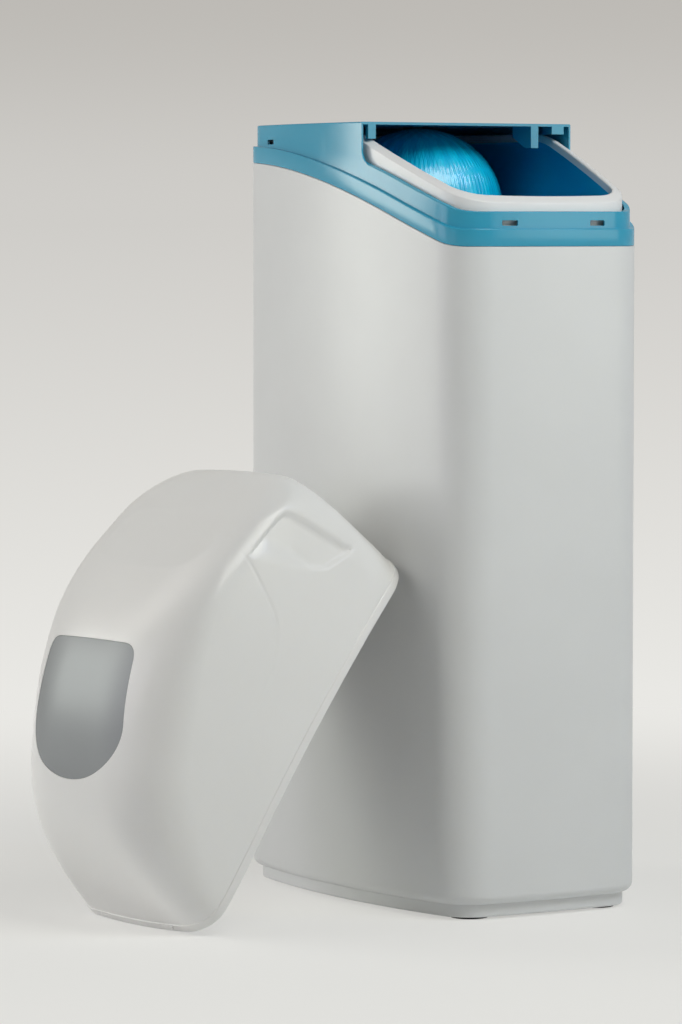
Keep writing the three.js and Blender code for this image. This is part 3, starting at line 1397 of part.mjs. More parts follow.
add('pressure_vessel', pressureVessel(), colours.vesselBlue);
add('vessel_stand', vesselStand(), colours.black);
add('neck_adapter', neckAdapter(), colours.black);
add('neck_seal', neckSeal(), colours.rubber);
add('riser_tube', riserTube(), colours.natural);
add('lower_strainer', lowerStrainer(), colours.natural);
add('upper_strainer', upperStrainer(), colours.natural);
add('feed_pipe', vesselPipe(-1), colours.natural);
add('return_pipe', vesselPipe(1), colours.natural);

add('valve_body', valveBody(), colours.black);
add('valve_bracket', valveBracket(), colours.steel);
add('spool_cage', spoolCage(), colours.natural);
add('spool_piston', spoolPiston(), colours.grey);
add('valve_end_cap', valveEndCap(), colours.black);
add('drive_plate', drivePlate(), colours.grey);
add('drive_gear', driveGear(), colours.natural);
add('motor_pinion', motorPinion(), colours.steel);
add('gear_motor', gearMotor(), colours.steel);
add('injector_plug', injectorPlug(), colours.grey);
add('drain_fitting', drainFitting(), colours.grey);
[['inlet', -valve.portSpread], ['outlet', valve.portSpread]].forEach(([name, x]) => {
  add(`${name}_stub`, portStub(x), colours.black);
  add(`${name}_seal`, portSeal(x), colours.rubber);
  add(`${name}_nut`, portNut(x), colours.grey);
});

add('brine_well', brineWell(), colours.natural);
add('brine_well_cap', brineWellCap(), colours.natural);
add('safety_valve', safetyValve(), colours.natural);
add('float', floatAssembly(), colours.rimWhite);
add('brine_line', brineHose(), colours.natural);
add('overflow_elbow', overflowElbow(), colours.grey);
add('overflow_nut', overflowNut(), colours.grey);
add('control_box', controlBox(), colours.grey);
add('control_cover', controlCover(), colours.black);
add('circuit_board', circuitBoard(), colours.green);
add('power_inlet', powerInlet(), colours.black);

const walls = lidWalls();
const leaningLid = new THREE.Group();
const shell = add('lid_shell', lidShell(walls), colours.lidWhite, leaningLid);
add('lid_window', common(walls, panePrism(0)), colours.smoke, leaningLid);
const turn = leanMatrix();
leaningLid.applyMatrix4(turn);
leaningLid.position.copy(leanPlace(shell.geometry, turn));
softener.add(leaningLid);

export default softener;
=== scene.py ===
"""Cabinet water softener with its lid off and leaning on its left side. Lengths are in metres."""
import json
import math

import bmesh
import bpy
import numpy as np
from bpy.props import FloatProperty, FloatVectorProperty, PointerProperty
from mathutils import Euler, Matrix, Vector


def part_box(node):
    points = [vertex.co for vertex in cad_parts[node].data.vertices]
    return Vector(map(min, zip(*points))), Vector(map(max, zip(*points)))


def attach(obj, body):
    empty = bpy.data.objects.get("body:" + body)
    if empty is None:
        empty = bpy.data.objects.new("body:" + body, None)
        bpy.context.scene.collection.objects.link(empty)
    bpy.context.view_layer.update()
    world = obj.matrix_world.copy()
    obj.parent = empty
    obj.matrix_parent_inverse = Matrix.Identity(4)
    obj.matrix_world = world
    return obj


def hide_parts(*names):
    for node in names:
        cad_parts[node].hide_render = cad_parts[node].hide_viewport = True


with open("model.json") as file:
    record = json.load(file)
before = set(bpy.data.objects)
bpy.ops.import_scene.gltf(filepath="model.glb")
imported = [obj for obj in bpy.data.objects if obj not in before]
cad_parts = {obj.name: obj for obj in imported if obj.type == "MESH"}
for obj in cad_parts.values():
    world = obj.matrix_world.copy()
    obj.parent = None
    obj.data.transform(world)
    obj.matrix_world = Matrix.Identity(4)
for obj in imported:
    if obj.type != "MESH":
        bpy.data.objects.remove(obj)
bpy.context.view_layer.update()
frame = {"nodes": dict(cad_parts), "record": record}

bl_info = {
    "name": "Cabinet Water Softener",
    "version": (1, 0, 0),
    "blender": (4, 5, 0),
    "location": "View3D > Sidebar > Softener",
    "description": "Builds a cabinet water softener with its lid leaning beside it",
    "category": "Object",
}

FRAME_LOW, FRAME_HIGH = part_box("top_frame")
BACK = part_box("cabinet_body")[1].y      # how far back the bosses of the back wall reach
VESSEL_LOW, VESSEL_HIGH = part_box("pressure_vessel")
GAP = 0.0003       # clearance between neighbouring pieces
OVERRUN = 0.006    # how far a cutting shape runs past what it cuts
FINE = 96          # points round a large round piece
SMALL = 48         # points round a small one

# Places of the fittings in the back wall: x, z and radius
PORTS = {
    "inlet": (-0.036, 0.880, 0.012), "outlet": (0.036, 0.880, 0.012), "drain": (0, 0.880, 0.007),
    "overflow": (-0.054, 0.760, 0.010), "power": (-0.074, 0.880, 0.007),
}
SLOT_X = 0.064          # from the middle to each slot in the collar's front
HOLE_Y = 0.172          # how far behind the middle the collar's square holes are
HOOK_RISE = 0.028       # height of the slots and square holes above the cabinet's edge
SCREW_X = 0.062         # from the middle to each of the collar's screws
SCREW_DROP = 0.013      # how far the screws are below the crest's rear height
SCREW_HOLE = 0.0023     # radius of their holes


# Properties

def length(name, description, default):
    return FloatProperty(name=name, description=description, default=default, unit="LENGTH", precision=4)


def angle(name, description, degrees):
    return FloatProperty(name=name, description=description, default=math.radians(degrees), subtype="ANGLE")


def colour(name, description, red, green, blue):
    """A colour given in the display's 0 to 255 steps, kept in linear light."""
    values = [linear(value / 255) for value in (red, green, blue)]
    return FloatVectorProperty(name=name, description=description, default=values,
                               subtype="COLOR", min=0, max=1)


def linear(value):
    return value / 12.92 if value <= 0.04045 else ((value + 0.055) / 1.055) ** 2.4


class SoftenerCabinet(bpy.types.PropertyGroup):
    width: length("Width", "Across the cabinet's middle", FRAME_HIGH.x - FRAME_LOW.x)
    depth: length("Depth", "From the front's middle to the back's middle", FRAME_HIGH.y - FRAME_LOW.y)
    corner: length("Corner", "Radius of the four upright corners", 0.058)
    side_bow: length("Side bow", "Radius to which the two sides bow outwards", 1.150)
    end_bow: length("End bow", "Radius to which the front and back bow outwards", 1.200)
    wall: length("Wall", "Thickness of the cabinet's wall", 0.004)
    plinth_inset: length("Plinth inset", "How far the plinth stands back", 0.012)
    plinth_top: length("Plinth top", "Height of the plinth's top", 0.019)
    edge: length("Lower edge", "Radius of the body's edge above the plinth", 0.012)
    foot_height: length("Foot height", "Height of the pads under the plinth", 0.003)
    floor: length("Floor", "Thickness of the cabinet's floor", 0.006)


class SoftenerCrest(bpy.types.PropertyGroup):
    front: length("Front height", "Height of the S-shaped edge at the front", 0.815)
    rear: length("Rear height", "Height of the S-shaped edge at the back", 0.920)
    start: length("Start", "Where the front arc starts, behind the front's middle", 0.012)
    front_radius: length("Front radius", "Radius of the hollow arc in front", 0.090)
    rear_radius: length("Rear radius", "Radius of the crowned arc behind", 1.100)
    slope: angle("Slope", "Slope of the straight stretch between the arcs", 20)


class SoftenerCollar(bpy.types.PropertyGroup):
    step: length("Step height", "Height of the lower band above the cabinet's edge", 0.021)
    inset: length("Step inset", "How far the upper band stands back from the lower one", 0.0055)
    height: length("Height", "Height of the whole collar above the cabinet's edge", 0.042)
    wall: length("Wall", "Thickness of the lower band", 0.003)
    upper_wall: length("Upper wall", "Thickness of the upper band", 0.0025)
    lip: length("Lip", "How far inwards the top lip reaches", 0.0126)
    skirt: length("Skirt", "How far the collar reaches down inside the cabinet", 0.025)
    hood_front: length("Hood front", "How far in front of the middle the hood ends", 0.062)
    roof_wall: length("Roof wall", "Thickness of the hood's roof", 0.0033)
    fillet: length("Fillet", "Radius where the hood's front edge meets the collar", 0.018)


class SoftenerRim(bpy.types.PropertyGroup):
    front: length("Front height", "Height of the tank rim at the front", 0.8645)
    rear: length("Rear height", "Height of the tank rim under the hood", 0.952)
    inset: length("Inset", "How far the rim stands back from the cabinet's side", 0.0135)
    width: length("Width", "Width of the rim's top", 0.013)
    crown: length("Crown", "How much higher the rim's inner edge is", 0.0035)
    corner: length("Corner", "Corner radius of the rim", 0.052)
    slope: angle("Slope", "Slope of the rim's straight stretch", 21.3)


class SoftenerVessel(bpy.types.PropertyGroup):
    radius: length("Radius", "Radius of the pressure vessel", (VESSEL_HIGH.x - VESSEL_LOW.x) / 2)
    apex: length("Apex", "Height of the dome's top", VESSEL_HIGH.z)
    dome: length("Dome", "Height of the upper dome", 0.098)
    base_dome: length("Base dome", "Height of the lower dome", 0.080)
    base: length("Base", "Height at which the lower dome starts", 0.158)
    neck: length("Neck", "Radius of the neck", 0.036)


class SoftenerLid(bpy.types.PropertyGroup):
    top: length("Top", "Height of the lid's top when it is on", 1.156)
    wall: length("Wall", "Thickness of the lid", 0.0025)
    foot: length("Foot", "Height of the thicker band along the lid's edge", 0.011)
    foot_wall: length("Foot wall", "Thickness of that band", 0.0046)
    groove: length("Groove", "How far the lid's wall stands back above the band", 0.001)
    tilt: angle("Tilt", "How far the leaning lid is tilted", 42.7)
    turn: angle("Turn", "How far the leaning lid is turned about the vertical", 5.6)
    arc_depth: length("Arc depth", "Depth of the moulded arc on the lid's sides", 0.0008)


class SoftenerColours(bpy.types.PropertyGroup):
    white_shell: colour("White shell", "The cabinet", 222, 223, 224)
    teal_shell: colour("Teal shell", "The collar and the hood", 46, 157, 191)
    rim_white: colour("Rim white", "The brine tank's rim", 238, 238, 239)
    tank_blue: colour("Tank blue", "The brine tank", 6, 186, 236)
    vessel_blue: colour("Vessel blue", "The pressure vessel", 0, 206, 255)
    lid_white: colour("Lid white", "The lid", 234, 233, 232)
    smoked_pane: colour("Smoked pane", "The pane in the lid", 128, 131, 134)
    natural_plastic: colour("Natural plastic", "Pipes, well and salt grid", 228, 225, 216)
    black_plastic: colour("Black plastic", "Valve and couplings", 34, 37, 40)
    grey_plastic: colour("Grey plastic", "Nuts and small fittings", 128, 133, 138)
    rubber: colour("Rubber", "Seals and feet", 36, 36, 36)
    steel: colour("Steel", "Plated metal", 186, 189, 192)
    board_green: colour("Board green", "The circuit board", 26, 104, 68)


class SoftenerStage(bpy.types.PropertyGroup):
    eye: FloatVectorProperty(name="Camera", description="Where the camera stands",
                             default=(-3.3742, -5.1754, 0.843), subtype="TRANSLATION")
    azimuth: angle("Azimuth", "Direction in which the camera looks, from the depth axis", 31.953)
    pitch: angle("Pitch", "How far the camera looks down", 3.362)
    focal: FloatProperty(name="Focal length", description="Focal length of the camera's lens",
                         default=172.95, unit="CAMERA")
    floor_colour: colour("Floor", "The floor near the softener", 242, 242, 241)
    near_colour: colour("Backdrop below", "The floor further away", 233, 232, 228)
    far_colour: colour("Backdrop at eye height", "The floor's far end and the backdrop above", 207, 205, 201)
    top_colour: colour("Backdrop above", "The backdrop's upper part", 189, 186, 181)


GROUPS = {
    "softener_cabinet": SoftenerCabinet, "softener_crest": SoftenerCrest, "softener_collar": SoftenerCollar,
    "softener_rim": SoftenerRim, "softener_vessel": SoftenerVessel, "softener_lid": SoftenerLid,
    "softener_colours": SoftenerColours, "softener_stage": SoftenerStage,
}


def group(name):
    return getattr(bpy.context.scene, "softener_" + name)


# Plan and S-curve

def bowed_ring(half_width, half_depth, corner, front_corner=None, inset=0, middle=0, counts=(16, 16, 64)):
    """Points of a rounded rectangle with bowed sides, from the front's middle round by the right."""
    cabinet = group("cabinet")
    end_count, corner_count, side_count = counts
    a, b = half_width - inset, half_depth - inset
    side, end = cabinet.side_bow - inset, cabinet.end_bow - inset
    rounds = 20

    def corner_arc(radius):
        """The corner arc that touches both bows, found in rounds, and the angles where it touches."""
        x, y = a - radius, b - radius
        for _ in range(rounds):
            x = a - side + math.sqrt((side - radius) ** 2 - y ** 2)
            y = b - end + math.sqrt((end - radius) ** 2 - x ** 2)
        return x, y, radius, math.atan2(y, x - (a - side)), math.atan2(y - (b - end), x)

    fx, fy, fr, f_side, f_end = corner_arc((corner if front_corner is None else front_corner) - inset)
    rx, ry, rr, r_side, r_end = corner_arc(corner - inset)
    arcs = [
        (0, end - b, end, -math.pi / 2, -f_end, end_count), (fx, -fy, fr, -f_end, -f_side, corner_count),
        (a - side, 0, side, -f_side, r_side, side_count), (rx, ry, rr, r_side, r_end, corner_count),
        (0, b - end, end, r_end, math.pi / 2, end_count),
    ]
    right = []
    for cx, cy, radius, start, stop, count in arcs:
        turn = start + (stop - start) * np.arange(count) / count
        right.append(np.column_stack([cx + radius * np.cos(turn), cy + radius * np.sin(turn)]))
    right = np.vstack(right)
    left = right[:0:-1] * (-1, 1)
    return np.vstack([right, [[0, b]], left]) + (0, middle)


def plan_ring(inset):
    cabinet = group("cabinet")
    return bowed_ring(cabinet.width / 2, cabinet.depth / 2, cabinet.corner, inset=inset)


def tank_ring(inset):
    cabinet, rim = group("cabinet"), group("rim")
    return bowed_ring(cabinet.width / 2, cabinet.depth / 2, rim.corner + rim.inset, inset=inset)


def rear_face(inset, x):
    cabinet = group("cabinet")
    radius = cabinet.end_bow - inset
    return cabinet.depth / 2 - inset - radius + math.sqrt(radius ** 2 - x ** 2)


def side_face(inset, y):
    cabinet = group("cabinet")
    radius = cabinet.side_bow - inset
    return cabinet.width / 2 - inset - radius + math.sqrt(radius ** 2 - y ** 2)


class SCurve:
    """A height that is level in front, curves up into a straight slope and crowns over to a level back."""

    def __init__(self, front, rear, start, front_radius, rear_radius, slope):
        self.front, self.rear, self.radii, self.slope = front, rear, (front_radius, rear_radius), slope
        rise = 1 - math.cos(slope)
        straight = (rear - front - (front_radius + rear_radius) * rise) / math.tan(slope)
        self.y0 = -group("cabinet").depth / 2 + start
        self.y1 = self.y0 + front_radius * math.sin(slope)
        self.y2 = self.y1 + straight
        self.y3 = self.y2 + rear_radius * math.sin(slope)

    def height(self, y, offset=0):
        y = np.asarray(y, float)
        low, high = self.radii
        turn_low = np.arcsin(np.clip((y - self.y0) / low, 0, math.sin(self.slope)))
        turn_high = np.arcsin(np.clip((self.y3 - y) / high, 0, math.sin(self.slope)))
        turn = np.where(y < self.y1, turn_low, np.where(y < self.y2, self.slope, turn_high))
        z = np.where(y < self.y1, self.front + low * (1 - np.cos(turn_low)),
                     self.rear - high * (1 - np.cos(turn_high)))
        between = (y >= self.y1) & (y < self.y2)
        base = self.front + low * (1 - math.cos(self.slope))
        z = np.where(between, base + (y - self.y1) * math.tan(self.slope), z)
        return z + offset / np.cos(turn)


def crest_curve():
    crest = group("crest")
    return SCurve(crest.front, crest.rear, crest.start, crest.front_radius, crest.rear_radius, crest.slope)


def rim_curve():
    rim = group("rim")
    start, front_radius, rear_radius = -0.0034, 0.050, 0.120
    return SCurve(rim.front, rim.rear, start, front_radius, rear_radius, rim.slope)


# Meshes

def mesh_object(name, points, faces, sharp=35):
    mesh = bpy.data.meshes.new(name)
    mesh.from_pydata([tuple(map(float, p)) for p in points], [], faces)
    bm = bmesh.new()
    bm.from_mesh(mesh)
    bmesh.ops.remove_doubles(bm, verts=bm.verts, dist=1e-7)
    bmesh.ops.recalc_face_normals(bm, faces=bm.faces)
    bm.to_mesh(mesh)
    bm.free()
    obj = bpy.data.objects.new(name, mesh)
    bpy.context.scene.collection.objects.link(obj)
    soften(obj, sharp)
    return obj


def soften(obj, sharp=35):
    obj.data.polygons.foreach_set("use_smooth", [True] * len(obj.data.polygons))
    obj.data.set_sharp_from_angle(angle=math.radians(sharp))


def skin(name, rows, closed=False, sharp=35):
    """A closed skin over rows of equally many points, with caps on the first and last or joined in a ring."""
    rows = np.asarray(rows, float)
    count = rows.shape[1]
    points = rows.reshape(-1, 3).tolist()
    around = (np.arange(count) + 1) % count
    total = len(rows) if closed else len(rows) - 1
    faces = []
    for level in range(total):
        here, there = level * count, (level + 1) % len(rows) * count
        faces += [(here + i, here + j, there + j, there + i) for i, j in enumerate(around)]
    if not closed:
        for level in (0, len(rows) - 1):
            points.append(rows[level].mean(0).tolist())
            hub, here = len(points) - 1, level * count
            faces += [(hub, here + i, here + j) for i, j in enumerate(around)]
    return mesh_object(name, points, faces, sharp)


def flat_ring(ring, z):
    return np.column_stack([ring, np.broadcast_to(z, len(ring))])


def arc_points(radius, start, stop, count, centre=(0, 0)):
    """Points of an arc in a section, with its angles in degrees."""
    turns = np.radians(np.linspace(start, stop, count))
    return [(centre[0] + radius * math.cos(t), centre[1] + radius * math.sin(t)) for t in turns]


def rounding(inset, height, *arc):
    """A rounded edge of a section in pairs of inset and height, round a centre given as such a pair."""
    return [(inset - x, height + z) for x, z in arc_points(*arc)]


def along(ring, curve, offset):
    """A ring of the plan lifted to an S-curve, or to a line square to it at a distance."""
    return flat_ring(ring, curve.height(ring[:, 1], offset))


def carried(name, section, curve, ring_at):
    """A section of inset and height pairs, carried round the plan along an S-curve."""
    return skin(name, [along(ring_at(inset), curve, offset) for inset, offset in section], closed=True)


def turned(name, profile, axis="z", centre=(0, 0, 0), count=SMALL, sharp=35):
    """A solid of revolution from radius and height pairs, closed by caps where the radius isn't zero."""
    turns = 2 * math.pi * np.arange(count) / count
    rows = [np.column_stack([r * np.cos(turns), r * np.sin(turns), np.full(count, h)]) for r, h in profile]
    return placed(skin(name, rows, sharp=sharp), axis, centre)


def placed(obj, axis, centre):
    turn = {"z": Matrix(), "y": Matrix.Rotation(-math.pi / 2, 4, "X"),
            "x": Matrix.Rotation(math.pi / 2, 4, "Y")}
    obj.data.transform(Matrix.Translation(centre) @ turn[axis])
    return obj


def prism(name, outline, axis, start, stop, sharp=35):
    """A straight bar along an axis from an outline of the other two coordinates, in x, y, z order."""
    outline = np.asarray(outline, float)
    at = {"x": 0, "y": 1, "z": 2}[axis]
    rows = [np.insert(outline, at, value, axis=1) for value in (start, stop)]
    return skin(name, rows, sharp=sharp)


def block(name, low, high):
    (x0, y0, z0), (x1, y1, z1) = low, high
    return prism(name, [(x0, y0), (x1, y0), (x1, y1), (x0, y1)], "z", z0, z1)


def rounded_outline(u0, u1, v0, v1, radius, count=5):
    corners = [((u1 - radius, v1 - radius), 0), ((u0 + radius, v1 - radius), 90),
               ((u0 + radius, v0 + radius), 180), ((u1 - radius, v0 + radius), 270)]
    return [p for centre, turn in corners for p in arc_points(radius, turn, turn + 90, count, centre)]


def combine(target, tools, operation="DIFFERENCE", sharp=35):
    """Cuts, joins or crosses a closed mesh with others, which are then gone."""
    for tool in tools:
        step = target.modifiers.new(operation, "BOOLEAN")
        step.operation = operation
        step.solver = "MANIFOLD"
        step.object = tool
        graph = bpy.context.evaluated_depsgraph_get()
        result = bpy.data.meshes.new_from_object(target.evaluated_get(graph))
        target.modifiers.clear()
        old, target.data = target.data, result
        bpy.data.meshes.remove(old)
        bpy.data.meshes.remove(tool.data)
    soften(target, sharp)
    return target


def finish_piece(obj, material, body, *nodes):
    obj.data.materials.clear()
    obj.data.materials.append(finish(material))
    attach(obj, body)
    if nodes:
        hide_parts(*nodes)
    return obj


# Materials

# Roughness, coat, grain size and grain depth in metres, and how much the colour wanders
FINISHES = {
    "white_shell": (0.38, 0.15, 0.0011, 0.000018, 0.012),
    "teal_shell": (0.18, 0.0, 0.0009, 0.000004, 0.02),
    "rim_white": (0.36, 0.12, 0.0010, 0.000012, 0.012),
    "tank_blue": (0.30, 0.10, 0.0016, 0.00003, 0.04),
    "lid_white": (0.30, 0.12, 0.0012, 0.000008, 0.008),
    "natural_plastic": (0.42, 0.0, 0.0010, 0.00002, 0.02),
    "black_plastic": (0.45, 0.0, 0.0008, 0.00003, 0.03),
    "grey_plastic": (0.45, 0.0, 0.0008, 0.00003, 0.03),
    "rubber": (0.8, 0.0, 0.0006, 0.00003, 0.05),
    "board_green": (0.35, 0.3, 0.0010, 0.00001, 0.05),
}
FINISH = "_finish"              # ends the name of each finish
COLOUR_PATCHES = 9.0            # patches of uneven colour in a metre
GLOSS_PATCHES = 40.0            # patches of uneven gloss in a metre
GLOSS_RANGE = (-0.03, 0.05)     # how far the roughness wanders down and up
RAMP_RANGE = (0.3, 0.7)         # share of a noise at which the colour is darkest and lightest
# Fibre wound round the vessel: radius of the circle that it touches on the dome, turns down the side,
# bands as a count and a share of the height, and how much each part wanders
WINDING = {
    "circle": 0.016, "pitch": 3.6, "bands": [(23, 0.5), (97, 0.2), (230, 0.1)], "depth": 0.0005,
    "wander": 0.08, "wander_patches": 14.0, "resin_depth": 0.0012, "resin_patches": 45.0, "spread": 0.10,
}


class Graph:
    """The shader nodes of a material or of the world, with a short call for each kind that comes often."""

    def __init__(self, tree):
        self.nodes, self.links = tree.nodes, tree.links

    def fill(self, node, values):
        """Sets inputs by name or number, each to a value or to what another node gives."""
        for name, value in values.items():
            if isinstance(value, bpy.types.NodeSocket):
                self.links.new(value, node.inputs[name])
            else:
                node.inputs[name].default_value = value
        return node

    def add(self, kind, values, **settings):
        node = self.nodes.new("ShaderNode" + kind)
        for name, value in settings.items():
            setattr(node, name, value)
        return self.fill(node, values)

    def math(self, operation, *values):
        return self.add("Math", dict(enumerate(values)), operation=operation).outputs[0]

    def place(self, kind="Object"):
        return self.add("TexCoord", {}).outputs[kind]

    def noise(self, vector, scale, detail=2.0):
        return self.add("TexNoise", {"Scale": scale, "Detail": detail, "Vector": vector}).outputs["Fac"]

    def varied(self, fac, value, spread):
        """A colour that wanders a little darker and lighter with a factor."""
        node = self.add("ValToRGB", {"Fac": fac})
        for stop, place, change in zip(node.color_ramp.elements, RAMP_RANGE, (-spread, spread)):
            stop.position = place
            stop.color = [*(min(1, c * (1 + change)) for c in value), 1]
        return node.outputs["Color"]

    def bump(self, height, distance, **normal):
        return self.add("Bump", {"Height": height, "Distance": distance, **normal}).outputs["Normal"]


def new_material(name):
    material = bpy.data.materials.new(name + FINISH)
    material.use_nodes = True
    graph = Graph(material.node_tree)
    return material, graph, graph.nodes["Principled BSDF"]


def paint(name):
    return getattr(group("colours"), name)


def moulded(name, **more):
    """Moulded plastic: fine grain, slow unevenness in colour and gloss."""
    roughness, coat, grain, depth, spread = FINISHES[name]
    material, graph, shader = new_material(name)
    at = graph.place()
    smoother, rougher = (roughness + step for step in GLOSS_RANGE)
    gloss = graph.add("MapRange", {
        "To Min": smoother, "To Max": rougher, "Value": graph.noise(at, GLOSS_PATCHES)})
    graph.fill(shader, {
        "Base Color": graph.varied(graph.noise(at, COLOUR_PATCHES), paint(name), spread),
        "Roughness": gloss.outputs["Result"], "Normal": graph.bump(graph.noise(at, 1 / grain), depth),
        "Coat Weight": coat, "Coat Roughness": 0.25, **more,
    })
    return material


def lid_finish(name):
    """Satin, slightly milky plastic that lets a little light in."""
    return moulded(name, **{
        "Subsurface Weight": 0.12, "Subsurface Radius": (1.0, 0.95, 0.9), "Subsurface Scale": 0.006})


def pane_finish(name):
    """Smooth smoked plastic with a soft, slightly metallic sheen."""
    material, graph, shader = new_material(name)
    at = graph.place()
    patches, ripples, spread, ripple_depth = 6.0, 60.0, 0.03, 0.00004
    graph.fill(shader, {
        "Base Color": graph.varied(graph.noise(at, patches), paint(name), spread),
        "Normal": graph.bump(graph.noise(at, ripples), ripple_depth),
        "Metallic": 0.3, "Roughness": 0.46, "Coat Weight": 0.1, "Coat Roughness": 0.3,
    })
    return material


def plated(name):
    """Plated metal with fine rolling marks."""
    material, graph, shader = new_material(name)
    along_marks, across_marks, spread, mark_depth = 60, 900, 0.06, 0.00001
    stretched = graph.add("Mapping", {
        "Scale": (along_marks, across_marks, across_marks), "Vector": graph.place()})
    marks = graph.noise(stretched.outputs["Vector"], 1.0, 4.0)
    graph.fill(shader, {
        "Base Color": graph.varied(marks, paint(name), spread), "Normal": graph.bump(marks, mark_depth),
        "Metallic": 1.0, "Roughness": 0.3,
    })
    return material


def wound(name):
    """Glass fibre wound round the vessel, under glossy clear resin. The windings run as straight lines past
    the dome's top, touching a small circle, and as steep spirals down the side."""
    vessel = group("vessel")
    material, graph, shader = new_material(name)
    at = graph.place()
    centre = (0, vessel_middle().y, vessel.apex - vessel.dome)
    centred = graph.add("VectorMath", {0: at, 1: centre}, operation="SUBTRACT")
    x, y, z = graph.add("SeparateXYZ", {0: centred.outputs["Vector"]}).outputs
    turn = graph.math("ARCTAN2", y, x)
    reach = graph.math("SQRT", graph.math(
        "ADD", graph.math("MULTIPLY", x, x), graph.math("MULTIPLY", y, y)))
    tangent = graph.math("ARCCOSINE", graph.math(
        "MINIMUM", graph.math("DIVIDE", WINDING["circle"], reach), 1.0))
    spiral = graph.math("MULTIPLY", graph.math("MINIMUM", z, 0.0), WINDING["pitch"])
    wander = graph.noise(at, WINDING["wander_patches"], 3.0)
    path = graph.math("ADD", graph.math("ADD", tangent, spiral), graph.math(
        "MULTIPLY", wander, WINDING["wander"]))
    height = None
    for count, depth in WINDING["bands"]:
        for way in (1, -1):
            phase = graph.math("ADD", turn, graph.math("MULTIPLY", path, way))
            wave = graph.math("SINE", graph.math("MULTIPLY", phase, count))
            part = graph.math("MULTIPLY", wave, depth)
            height = part if height is None else graph.math("ADD", height, part)
    fibres = graph.bump(height, WINDING["depth"])
    resin = graph.noise(at, WINDING["resin_patches"], 3.0)
    lightness = graph.math("ADD", graph.math("MULTIPLY", height, 0.5), 0.5)
    graph.fill(shader, {
        "Base Color": graph.varied(lightness, paint(name), WINDING["spread"]),
        "Normal": fibres, "Coat Normal": graph.bump(resin, WINDING["resin_depth"], Normal=fibres),
        "Roughness": 0.34, "Coat Weight": 0.9, "Coat Roughness": 0.05,
    })
    return material


SPECIAL = {"lid_white": lid_finish, "smoked_pane": pane_finish, "steel": plated, "vessel_blue": wound}


def finish(name):
    found = bpy.data.materials.get(name + FINISH)
    return found or SPECIAL.get(name, moulded)(name)


def refinish(slot, node):
    """Gives a CAD piece that keeps its shape its finish."""
    mesh = frame["nodes"][node].data
    mesh.materials.clear()
    mesh.materials.append(finish(slot))


# Cabinet

def vessel_middle():
    return (VESSEL_LOW + VESSEL_HIGH) / 2


def screw_holes(depth, stop):
    """Cutters for the collar's two screws, from a depth inside the back's face to a place outside it."""
    z = group("crest").rear - SCREW_DROP
    return [turned("hole", [(SCREW_HOLE, rear_face(depth, x)), (SCREW_HOLE, stop)], "y", (x, 0, z))
            for x in (-SCREW_X, SCREW_X)]


class SOFTENER_OT_cabinet(bpy.types.Operator):
    """Builds the cabinet's shell with its plinth, bearing disc, port bosses and feet"""
    bl_idname = "softener.cabinet"
    bl_label = "Cabinet"

    def execute(self, context):
        cabinet = group("cabinet")
        shell = self.shell(cabinet)
        radius, chamfer, wall_share = 0.062, 0.002, 1.25
        bearing = turned("bearing", [(radius - chamfer, 0), (radius, chamfer),
                                     (radius, cabinet.foot_height + OVERRUN / 2)], count=FINE)
        bosses, holes = self.ports(cabinet)
        combine(shell, [bearing, *bosses], "UNION")
        combine(shell, holes + screw_holes(cabinet.wall * wall_share, BACK + OVERRUN))
        finish_piece(shell, "white_shell", "cabinet", "cabinet_body")
        for place in ("front_left", "front_right", "rear_left", "rear_right"):
            self.pad("pad_" + place, "foot_" + place)
        return {"FINISHED"}

    def shell(self, cabinet):
        """The shell from its underside up the outside, over the crest's rounded lip and down inside."""
        plinth_edge, lip, fillet = 0.003, 0.0014, 0.010
        shelf, middle = cabinet.plinth_top + cabinet.floor, cabinet.plinth_top + cabinet.edge
        level = rounding(cabinet.plinth_inset + plinth_edge, cabinet.foot_height + plinth_edge,
                         plinth_edge, 270, 360, 5)
        level += [(cabinet.plinth_inset, cabinet.plinth_top - GAP)]
        level += rounding(cabinet.edge, middle, cabinet.edge, 270, 360, 10)
        crest = [(0, -GAP - lip)]
        for across, start, stop in ((lip, 0, 90), (cabinet.wall - lip, 90, 180)):
            crest += rounding(across, -GAP - lip, lip, start, stop, 5)
        inner = [(cabinet.wall, shelf + fillet)]
        inner += rounding(cabinet.wall + fillet, shelf + fillet, fillet, 0, -90, 6)
        curve = crest_curve()
        rows = [flat_ring(plan_ring(inset), z) for inset, z in level]
        rows += [along(plan_ring(inset), curve, offset) for inset, offset in crest]
        rows += [flat_ring(plan_ring(inset), z) for inset, z in inner]
        return skin("cabinet_shell", rows)

    def ports(self, cabinet):
        """The bosses round the fittings in the back wall, and the cutters for their holes."""
        margin, soft, depth = 0.009, 0.001, 0.020
        bosses, holes = [], []
        for x, z, radius in PORTS.values():
            outer = radius + margin
            start = rear_face(cabinet.wall, x) + cabinet.wall / 4
            bosses.append(turned("boss", [
                (outer + soft, start), (outer + soft, cabinet.depth / 2 - soft / 2),
                (outer, BACK - soft / 2), (outer - soft / 2, BACK)], "y", (x, 0, z)))
            holes.append(turned("hole", [
                (radius + GAP, rear_face(depth, x)), (radius + GAP, BACK + OVERRUN)], "y", (x, 0, z)))
        return bosses, holes

    def pad(self, name, node):
        """A foot's pad, with a small chamfer round its underside."""
        low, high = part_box(node)
        middle, radius = (low + high) / 2, (high.x - low.x) / 2
        across, up = 0.0015, 0.0012
        pad = turned(name, [(radius - across, low.z), (radius, low.z + up), (radius, high.z)],
                     "z", (middle.x, middle.y, 0))
        finish_piece(pad, "rubber", "cabinet", node)


# Collar and hood

